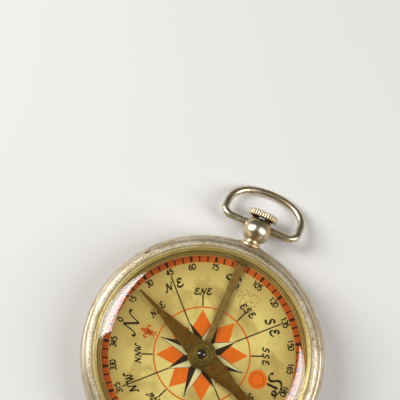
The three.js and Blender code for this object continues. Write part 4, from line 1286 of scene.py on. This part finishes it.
class COMPASS_OT_dial(bpy.types.Operator):
    """Makes the ring of the dial and gives the card its finish"""
    bl_idname = "compass.dial"
    bl_label = "Dial"

    def execute(self, context):
        dial = context.scene.compass.dial
        outer, top = dial.ring_outer, dial.ring_top
        outline = [(outer - dial.ring_wall, DIAL_TOP), (outer, DIAL_TOP), (outer, top),
                   *[(outer + x * MM, top + z * MM) for x, z in RING_SECTION]]
        piece = as_object("dial_ring_cone", turned(outline, WIDE_STEPS))
        dress(piece, finish_of("ring_brass", ring_brass, dial), "case", "yellow_brass", "dial_ring")
        dress_node("dial_card", finish_of("aged_card", card, dial))
        return {"FINISHED"}


class COMPASS_OT_degrees(bpy.types.Operator):
    """Prints the degree band, its ticks and its numerals"""
    bl_idname = "compass.degrees"
    bl_label = "Degrees"

    def execute(self, context):
        settings = context.scene.compass
        dial = settings.dial
        inner, outer = dial.band_inner, dial.band_outer
        print_ring("degree_band", settings, "red", inner, outer)
        edge = outer + dial.edge_gap
        print_ring("band_edge", settings, "orange", edge, edge + dial.edge_width)

        bm = bmesh.new()
        fine, heavy = layer(settings, 2), layer(settings, 2.5)
        for degrees in range(0, 360, 5):
            mark(bm, degrees, inner + dial.tick_start, outer, dial.tick, *fine)
            if degrees % 15 == 0:
                mark(bm, degrees, outer - dial.heavy_reach, outer, dial.heavy, *heavy)
        printed("degree_ticks", bm, settings, "black")

        bm = bmesh.new()
        foot = dial.numeral_radius - dial.numeral / 2
        span, pitch = (dial.numeral, dial.numeral * NUMERAL_WIDTH), dial.numeral * NUMERAL_PITCH
        pen = [dial.numeral_pen * part for part in NUMERAL_PEN]
        for degrees in range(0, 360, 15):
            digits = str(degrees)
            for i, digit in enumerate(digits):
                across = (i - (len(digits) - 1) / 2) * pitch
                write(bm, NUMERAL_SHARES[digit], (degrees, foot, across), span, pen, fine)
        printed("numerals", bm, settings, "black")
        return {"FINISHED"}


class COMPASS_OT_rose(bpy.types.Operator):
    """Prints the sixteen points of the rose, its circle, the north mark and the roundel"""
    bl_idname = "compass.rose"
    bl_label = "Rose"

    def execute(self, context):
        settings = context.scene.compass
        dial = settings.dial

        bm = bmesh.new()
        turn = math.degrees(dial.kite_turn)
        corners = ((0, dial.kite), (turn, dial.kite_wide), (turn, dial.star_waist / 2),
                   (-turn, dial.star_waist / 2), (-turn, dial.kite_wide))
        for degrees in HALF_WINDS:
            outline = [on_dial(degrees + aside, radius) for aside, radius in corners]
            prism(bm, outline, *layer(settings, 1))
        printed("plain_points", bm, settings, "orange")

        inner = dial.ring_line - dial.ring_line_width / 2
        print_ring("rose_circle", settings, "rust", inner, inner + dial.ring_line_width)

        dark, light, lines = bmesh.new(), bmesh.new(), bmesh.new()
        for winds, reach, level in ((PAIR_WINDS, dial.star_short, 2), (MAIN_WINDS, dial.star, 3)):
            for degrees in winds:
                tip = on_dial(degrees, reach)
                for side, bm in ((-1, light), (1, dark)):
                    corner = on_dial(degrees + HALF_WIND * side, dial.star_waist)
                    outline = [(0, 0), tip, corner] if side > 0 else [(0, 0), corner, tip]
                    prism(bm, outline, *layer(settings, level))
                    pen_line(lines, [corner, tip], dial.point_pen, dial.point_pen, 0,
                             *layer(settings, level + 0.5))
        printed("dark_points", dark, settings, "black")
        printed("light_points", light, settings, "cream")
        printed("point_lines", lines, settings, "black")

        bm = bmesh.new()
        self.north_mark(bm, dial, *layer(settings, 1))
        printed("north_mark", bm, settings, "red")

        centre, radius = on_dial(180, dial.roundel_radius), dial.roundel
        print_ring("roundel", settings, "orange", PINPRICK, radius, 1, centre, 72)
        low, high = (radius * part for part in ROUNDEL_CIRCLE)
        print_ring("roundel_circle", settings, "red", low, high, 1.6, centre, 72)
        return {"FINISHED"}

    @staticmethod
    def north_mark(bm, dial, bottom, top):
        """A plain lily: one upright petal, two that curl away, a foot and a bar."""
        foot, tall = dial.wind_start + dial.north_gap, dial.north_mark

        def placed(line):
            """The line's points on the dial."""
            return [on_dial(0, foot + y * tall, x * tall) for x, y in line]

        prism(bm, placed(MARK_PETAL)[::-1], bottom, top)
        for side in (-1, 1):
            for curl, thin, thick, nib in MARK_CURLS:
                line = flowing([(x * side, y) for x, y in curl])
                pen_line(bm, placed(line), thin * MM, thick * MM, nib, bottom, top)
        for line, width in MARK_BARS:
            pen_line(bm, placed(line), width * MM, width * MM, 0, bottom, top, taper=1)


class COMPASS_OT_winds(bpy.types.Operator):
    """Prints the lines and the letters of the winds"""
    bl_idname = "compass.winds"
    bl_label = "Winds"

    def execute(self, context):
        settings = context.scene.compass
        dial = settings.dial
        ink_level = layer(settings, 2)
        thin = dial.wind_pen

        bm = bmesh.new()
        for degrees in PAIR_WINDS:
            line = [on_dial(degrees, radius) for radius in (dial.star_short, dial.wind_end)]
            pen_line(bm, line, thin, thin, 0, *ink_level, taper=0.8)
        for degrees in HALF_WINDS:
            line = [on_dial(degrees, radius) for radius in (dial.wind_start, dial.wind_short)]
            nib = math.pi - math.radians(degrees)
            pen_line(bm, line, thin, thin * 1.3, nib, *ink_level, taper=0.9)
        printed("wind_lines", bm, settings, "black")

        bm = bmesh.new()
        pen = (dial.letter_thin, dial.letter_thick)
        for degrees, letter in MAIN_WINDS.items():
            if letter == "E":
                write(bm, LARGE_SHARES[letter], (degrees, dial.east_foot, 0),
                      (dial.east_letter, dial.east_letter), pen, ink_level)
            else:
                write(bm, LARGE_SHARES[letter], (degrees, dial.main_foot, 0),
                      (dial.main_letter, dial.main_letter), (dial.letter_thin, dial.main_thick),
                      ink_level, FLAT_NIB if letter == "S" else PEN_NIB)
        for degrees, letters in PAIR_WINDS.items():
            for letter, across in zip(letters, (-dial.pair_left, dial.pair_right)):
                write(bm, LETTER_SHARES[letter], (degrees, dial.pair_foot, across),
                      (dial.pair_letter, dial.pair_letter), pen, ink_level)
        pen = (dial.small_thin, dial.small_thick)
        for degrees, letters in HALF_WINDS.items():
            for i, letter in enumerate(letters):
                place = (degrees, dial.small_foot, (i - 1) * dial.small_pitch)
                write(bm, LETTER_SHARES[letter], place, (dial.small_letter, dial.small_pitch),
                      pen, ink_level)
        printed("wind_letters", bm, settings, "black")
        return {"FINISHED"}


class COMPASS_OT_needle(bpy.types.Operator):
    """Makes the needle, its cap and the jewel"""
    bl_idname = "compass.needle"
    bl_label = "Needle"

    NORTH_SHARES = ((1, 0.05), (0.985, 0.12), (0.84, 0.18), (0.73, 0.22), (0.66, 0.28), (0.6, 0.38),
                    (0.54, 0.49), (0.48, 0.55), (0.42, 0.61), (0.32, 0.74), (0.2, 0.91), (0.15, 1))
    TAIL_SHARES = ((0.14, 1), (0.2, 0.97), (0.26, 0.94), (0.32, 0.87), (0.376, 0.8), (0.435, 0.68),
                   (0.49, 0.56), (0.55, 0.495))
    END_SHARES = ((0.965, 1), (0.99, 0.82), (1, 0.5))
    HUB_FILLET = 0.12  # angle left free at each end of the hub's arcs

    def execute(self, context):
        settings = context.scene.compass
        needle = settings.needle
        north = flowing([(needle.north * x, needle.half * y) for x, y in self.NORTH_SHARES], 5)
        tail = flowing([(-needle.south * x, needle.half * y) for x, y in self.TAIL_SHARES], 5)
        start, end = (math.atan2(y, x) for x, y in (north[-1], tail[0]))
        hub = arc((0, 0), needle.hub, needle.hub, start + self.HUB_FILLET,
                  end - self.HUB_FILLET, 20)
        blunt = [(-needle.south * x, needle.tail * y) for x, y in self.END_SHARES]
        side = [*north, *hub, *tail, *blunt]
        outline = side + [(x, -y) for x, y in side[::-1]]
        bottom = DIAL_TOP + needle.bottom
        bm = sheet(outline, [ball_of(needle.tube + FIT, 40)], bottom, needle.thickness)
        round_edges(bm, needle.edge)
        turn = Matrix.Rotation(needle.heading, 4, "Z")
        bmesh.ops.transform(bm, matrix=turn, verts=bm.verts[:])
        finish = finish_of("needle_bronzing", bronzed, needle)
        dress(as_object("needle_plate", bm), finish, "needle", "bronzed_steel", "needle")

        flat = needle.bottom + needle.thickness + 2 * FIT
        flange = flat + needle.cap_flange
        bore = needle.jewel + FIT
        soft = 0.1 * MM
        cap = [
            (bore, needle.tube_bottom), (needle.tube, needle.tube_bottom), (needle.tube, flat),
            (needle.cap, flat),
            *arc((needle.cap - soft, flange - soft), soft, soft, 0, QUARTER, 6),
            *arc((needle.boss + soft, flange + soft * 0.6), soft, soft * 0.6, -QUARTER,
                 -QUARTER * 2, 4),
            *arc((needle.boss - soft, needle.boss_top - soft), soft, soft, 0, QUARTER, 6),
            (bore + soft, needle.boss_top), (bore, needle.boss_top - soft * 0.6),
        ]
        bm = turned([(r, DIAL_TOP + z) for r, z in cap], 96)
        dress(as_object("needle_hub", bm), finish, "needle", "bronzed_steel", "needle_cap")

        edge = needle.boss_top - FIT
        jewel = [(0, needle.jewel_bottom + needle.pit_depth),
                 (needle.pit_width, needle.jewel_bottom),
                 (needle.jewel, needle.jewel_bottom),
                 *arc((0, edge), needle.jewel, needle.jewel_dome, 0, QUARTER, 14)[:-1],
                 (0, edge + needle.jewel_dome)]
        bm = turned([(r, DIAL_TOP + z) for r, z in jewel], 64)
        dress(as_object("cap_jewel", bm), finish_of("jewel_stone", stone, needle), "lifter",
              "dark_stone", "jewel")
        return {"FINISHED"}


class COMPASS_OT_lever(bpy.types.Operator):
    """Makes the spring lever with its eye and tongue"""
    bl_idname = "compass.lever"
    bl_label = "Lever"

    def execute(self, context):
        lever = context.scene.compass.lever
        half, root = lever.bar / 2, lever.root / 2
        spread_turn = math.asin(lever.bar_inner / 2 / lever.eye)
        eye = [(lever.eye * math.cos(t), lever.eye * math.sin(t))
               for t in spread(QUARTER + spread_turn, QUARTER - spread_turn + FULL, 72)]
        # Where the bar has widened, its straight run there, its softness and the root's corners
        flare, run, ease, corner = lever.root_start + root - half, 0.3 * MM, 0.1 * MM, 0.5 * MM
        widen = flowing([(half, lever.root_start - run), (half + ease * 0.8, lever.root_start),
                         (root - ease, flare), (root, flare + run)], 5)
        end = arc((root - corner, lever.root_end - corner), corner, corner, 0, QUARTER, 6)
        right = [*widen, *end]
        outline = [*eye, *right, *[(-x, y) for x, y in right[::-1]]]
        holes = [ball_of(lever.eye_hole, 48)]
        for x in (-lever.rivet_pitch / 2, lever.rivet_pitch / 2):
            holes.append([(x + a, lever.rivets + b) for a, b in ball_of(lever.rivet_hole, 16)])
        bm = sheet(outline, holes, 0, lever.thickness, spread(lever.bend_start, lever.bend_end, 8))
        round_edges(bm, lever.edge)
        for vert in bm.verts:
            along = (vert.co.y - lever.bend_start) / (lever.bend_end - lever.bend_start)
            along = min(max(along, 0), 1)
            fall = along * along * (3 - 2 * along)
            vert.co.z += DIAL_TOP + lever.float_ + (lever.seat - lever.float_) * fall
        piece = as_object("lever_strip", bm)
        middle = DIAL_TOP + lever.float_ + lever.thickness / 2
        wide, thick = lever.tongue_width / 2, lever.tongue_thickness / 2
        tongue = block((-wide, lever.tongue - thick, lever.tongue_bottom),
                       (wide, lever.tongue + thick, middle))
        carve(piece, tongue, operation="UNION")
        dress(piece, finish_of("lever_brass", lever_brass, lever), "lever", "dull_brass", "lever")
        return {"FINISHED"}


class COMPASS_OT_pendant(bpy.types.Operator):
    """Makes the ball of the pendant on its foot"""
    bl_idname = "compass.pendant"
    bl_label = "Pendant"

    def execute(self, context):
        settings = context.scene.compass
        pendant, case = settings.pendant, settings.case
        foot, neck, bead, ball = pendant.foot, pendant.neck, pendant.bead, pendant.ball
        start, end, middle = pendant.spigot_start, pendant.foot_end, STEM_HEIGHT
        ball_turn = math.acos(pendant.ball_flat / ball)
        ball_end = pendant.ball_centre + ball * math.sin(ball_turn)
        # Room round the case; the foot's rounding, its rim and its fillet; the rise of the flat
        gap, soft, rim, fillet, swell = 0.1 * MM, 0.12 * MM, 0.3 * MM, 0.2 * MM, 0.05 * MM
        head = [
            (0, start), (foot - gap, start), (foot - gap, end - rim - soft),
            *arc((foot - soft, end - rim), soft, soft, -QUARTER, QUARTER, 8),
            *arc((foot - fillet, end), foot - neck - fillet, fillet * 0.8, -QUARTER,
                 -QUARTER * 2, 8),
            *arc((neck, end + bead), bead, bead, -QUARTER, QUARTER, 10),
            *arc((0, pendant.ball_centre), ball, ball, -math.acos(neck / ball), ball_turn, 44),
            *arc((0, ball_end), pendant.ball_flat, swell, 0, QUARTER, 6)[1:-1],
            (0, ball_end + swell),
        ]
        piece = as_object("pendant_ball", turned(head, 112, along_y=True, height=middle))
        saddle = turned([
            (0, -gap),
            *arc((case.back, middle), case.radius - case.back + gap, middle + gap, -QUARTER, 0, 20),
            *arc((case.seam, middle), case.radius - case.seam + gap,
                 case.seam_height - middle + gap, 0, QUARTER, 14)[1:],
            (0, case.seam_height + gap)], WIDE_STEPS)
        carve(piece, saddle)
        spigot = rod(pendant.spigot, start, end + rim, 64, along_y=True, height=middle)
        carve(piece, spigot, operation="UNION")
        bore = rod(pendant.bore, BORE_START, BORE_END, 48, along_y=True, height=middle)
        hinge = rod(pendant.wire / 2 + pendant.hinge_play, -HINGE_REACH, HINGE_REACH, 48,
                    along_y=True)
        turn = Matrix.Translation((0, pendant.pivot, middle)) @ Matrix.Rotation(QUARTER, 4, "Z")
        bmesh.ops.transform(hinge, matrix=turn, verts=hinge.verts[:])
        carve(piece, bore, hinge)
        dress(piece, bright_nickel(settings), "case", "nickel_plate", "pendant")
        return {"FINISHED"}


class COMPASS_OT_crown(bpy.types.Operator):
    """Makes the ridged crown"""
    bl_idname = "compass.crown"
    bl_label = "Crown"

    def execute(self, context):
        settings = context.scene.compass
        p = settings.pendant
        soft = p.tooth
        outline = [
            (0, p.thread_end), (p.thread, p.thread_end), (p.thread, p.crown_start + p.recess_depth),
            (p.recess, p.crown_start + p.recess_depth), (p.recess, p.crown_start),
            *arc((p.crown - soft, p.crown_start + soft), soft, soft, -QUARTER, 0, 5),
            *arc((p.crown - soft, p.crown_end - soft), soft, soft, 0, math.radians(60), 4),
            *arc((0, p.crown_end - soft), p.crown - soft * 1.2, p.crown_dome + soft,
                 math.radians(8), QUARTER, 16)[:-1],
            (0, p.crown_end + p.crown_dome),
        ]
        steps = p.teeth * RIDGE_STEPS
        flat = p.crown - soft * 0.8

        def ridge(radius, turn):
            """Rounded ridges with narrow grooves between them."""
            if radius < flat:  # the faces stay round
                return radius
            wave = abs(math.cos(turn * p.teeth / 2)) ** GROOVE_NARROWNESS
            return radius - p.tooth * wave * min(1, (radius - flat) / (soft * 0.6))

        bm = turned(outline, steps, along_y=True, height=STEM_HEIGHT, ridge=ridge)
        dress(as_object("crown_knob", bm, RIDGE_SHARP), crown_nickel(settings), "stem",
              "nickel_plate", "crown")
        return {"FINISHED"}


class COMPASS_OT_bow(bpy.types.Operator):
    """Makes the wire bow"""
    bl_idname = "compass.bow"
    bl_label = "Bow"

    def execute(self, context):
        settings = context.scene.compass
        p = settings.pendant
        reach = p.bow_width / 2 - p.wire / 2
        side = p.bow_length - p.oval
        half = [(p.bow_end + t * (reach - p.corner - p.bow_end), 0) for t in spread(0, 1, 10)]
        half += arc((reach - p.corner, p.corner), p.corner, p.corner, -QUARTER, 0, 18)[1:]
        half += [(reach, p.corner + t * (side - p.corner)) for t in spread(0, 1, 6)[1:-1]]
        half += [(reach * math.cos(t) ** p.fullness, side + p.oval * math.sin(t) ** p.fullness)
                 for t in spread(0, QUARTER, 48)[:-1]] + [(0, p.bow_length)]
        plan = half + [(-x, y) for x, y in half[-2::-1]]
        sine, cosine = math.sin(p.lean), math.cos(p.lean)
        path = [Vector((x, p.pivot + y * cosine, STEM_HEIGHT - y * sine)) for x, y in plan]
        bm = swept(path, p.wire / 2, 28)
        dress(as_object("bow_wire", bm), bright_nickel(settings), "bow", "nickel_plate", "bow")
        return {"FINISHED"}


BRASS_WORKS = ("dial_plate", "support_ring", "pivot_base", "cap_washer", "lever_rivet_left",
               "lever_rivet_right", "stem_guide")
STEEL_WORKS = ("pivot_pin", "stem", "spring_washer", "guide_screw_left", "guide_screw_right")


class COMPASS_OT_works(bpy.types.Operator):
    """Makes the stem's spring and finishes the works under the dial"""
    bl_idname = "compass.works"
    bl_label = "Works"

    def execute(self, context):
        settings = context.scene.compass
        works = settings.works
        steps = works.turns * TURN_STEPS
        path = []
        for i in range(steps + 1):
            turn = FULL * works.turns * i / steps
            along = works.spring_start + (works.spring_end - works.spring_start) * i / steps
            path.append(Vector((works.spring * math.cos(turn), along,
                                STEM_HEIGHT + works.spring * math.sin(turn))))
        piece = as_object("spring_coil", swept(path, works.wire / 2, 14))
        dress(piece, steel_finish(settings), "case", "steel", "stem_spring")
        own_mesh(piece)

        for name in BRASS_WORKS:
            dress_node(name, brass_finish(settings))
        for name in STEEL_WORKS:
            dress_node(name, steel_finish(settings))
        return {"FINISHED"}


class COMPASS_PT_sidebar(bpy.types.Panel):
    """Lists the pieces of the compass with their sizes"""
    bl_idname = "COMPASS_PT_sidebar"
    bl_label = "Compass"
    bl_space_type = "VIEW_3D"
    bl_region_type = "UI"
    bl_category = "Compass"

    def draw(self, context):
        for operator in OPERATORS:
            self.layout.operator(operator.bl_idname)
        for name in CompassSettings.__annotations__:
            group = getattr(context.scene.compass, name)
            box = self.layout.box()
            box.label(text=name.title())
            for entry in type(group).__annotations__:
                box.prop(group, entry)


GROUPS = (StageSettings, CaseSettings, BezelSettings, CrystalSettings, DialSettings, NeedleSettings,
          LeverSettings, PendantSettings, WorksSettings, CompassSettings)
OPERATORS = (
    COMPASS_OT_stage, COMPASS_OT_case, COMPASS_OT_bezel, COMPASS_OT_crystal, COMPASS_OT_dial,
    COMPASS_OT_degrees, COMPASS_OT_rose, COMPASS_OT_winds, COMPASS_OT_needle, COMPASS_OT_lever,
    COMPASS_OT_pendant, COMPASS_OT_crown, COMPASS_OT_bow, COMPASS_OT_works)


def register():
    """Gives Blender the settings, the operators and the panel."""
    for cls in (*GROUPS, *OPERATORS, COMPASS_PT_sidebar):
        bpy.utils.register_class(cls)
    bpy.types.Scene.compass = PointerProperty(type=CompassSettings)


def unregister():
    """Takes them away again."""
    del bpy.types.Scene.compass
    for cls in reversed((*GROUPS, *OPERATORS, COMPASS_PT_sidebar)):
        bpy.utils.unregister_class(cls)


def main():
    """Makes the whole compass."""
    register()
    bpy.ops.compass.stage()
    bpy.ops.compass.case()
    bpy.ops.compass.bezel()
    bpy.ops.compass.crystal()
    bpy.ops.compass.dial()
    bpy.ops.compass.degrees()
    bpy.ops.compass.rose()
    bpy.ops.compass.winds()
    bpy.ops.compass.needle()
    bpy.ops.compass.lever()
    bpy.ops.compass.pendant()
    bpy.ops.compass.crown()
    bpy.ops.compass.bow()
    bpy.ops.compass.works()


if __name__ == "__main__":
    main()
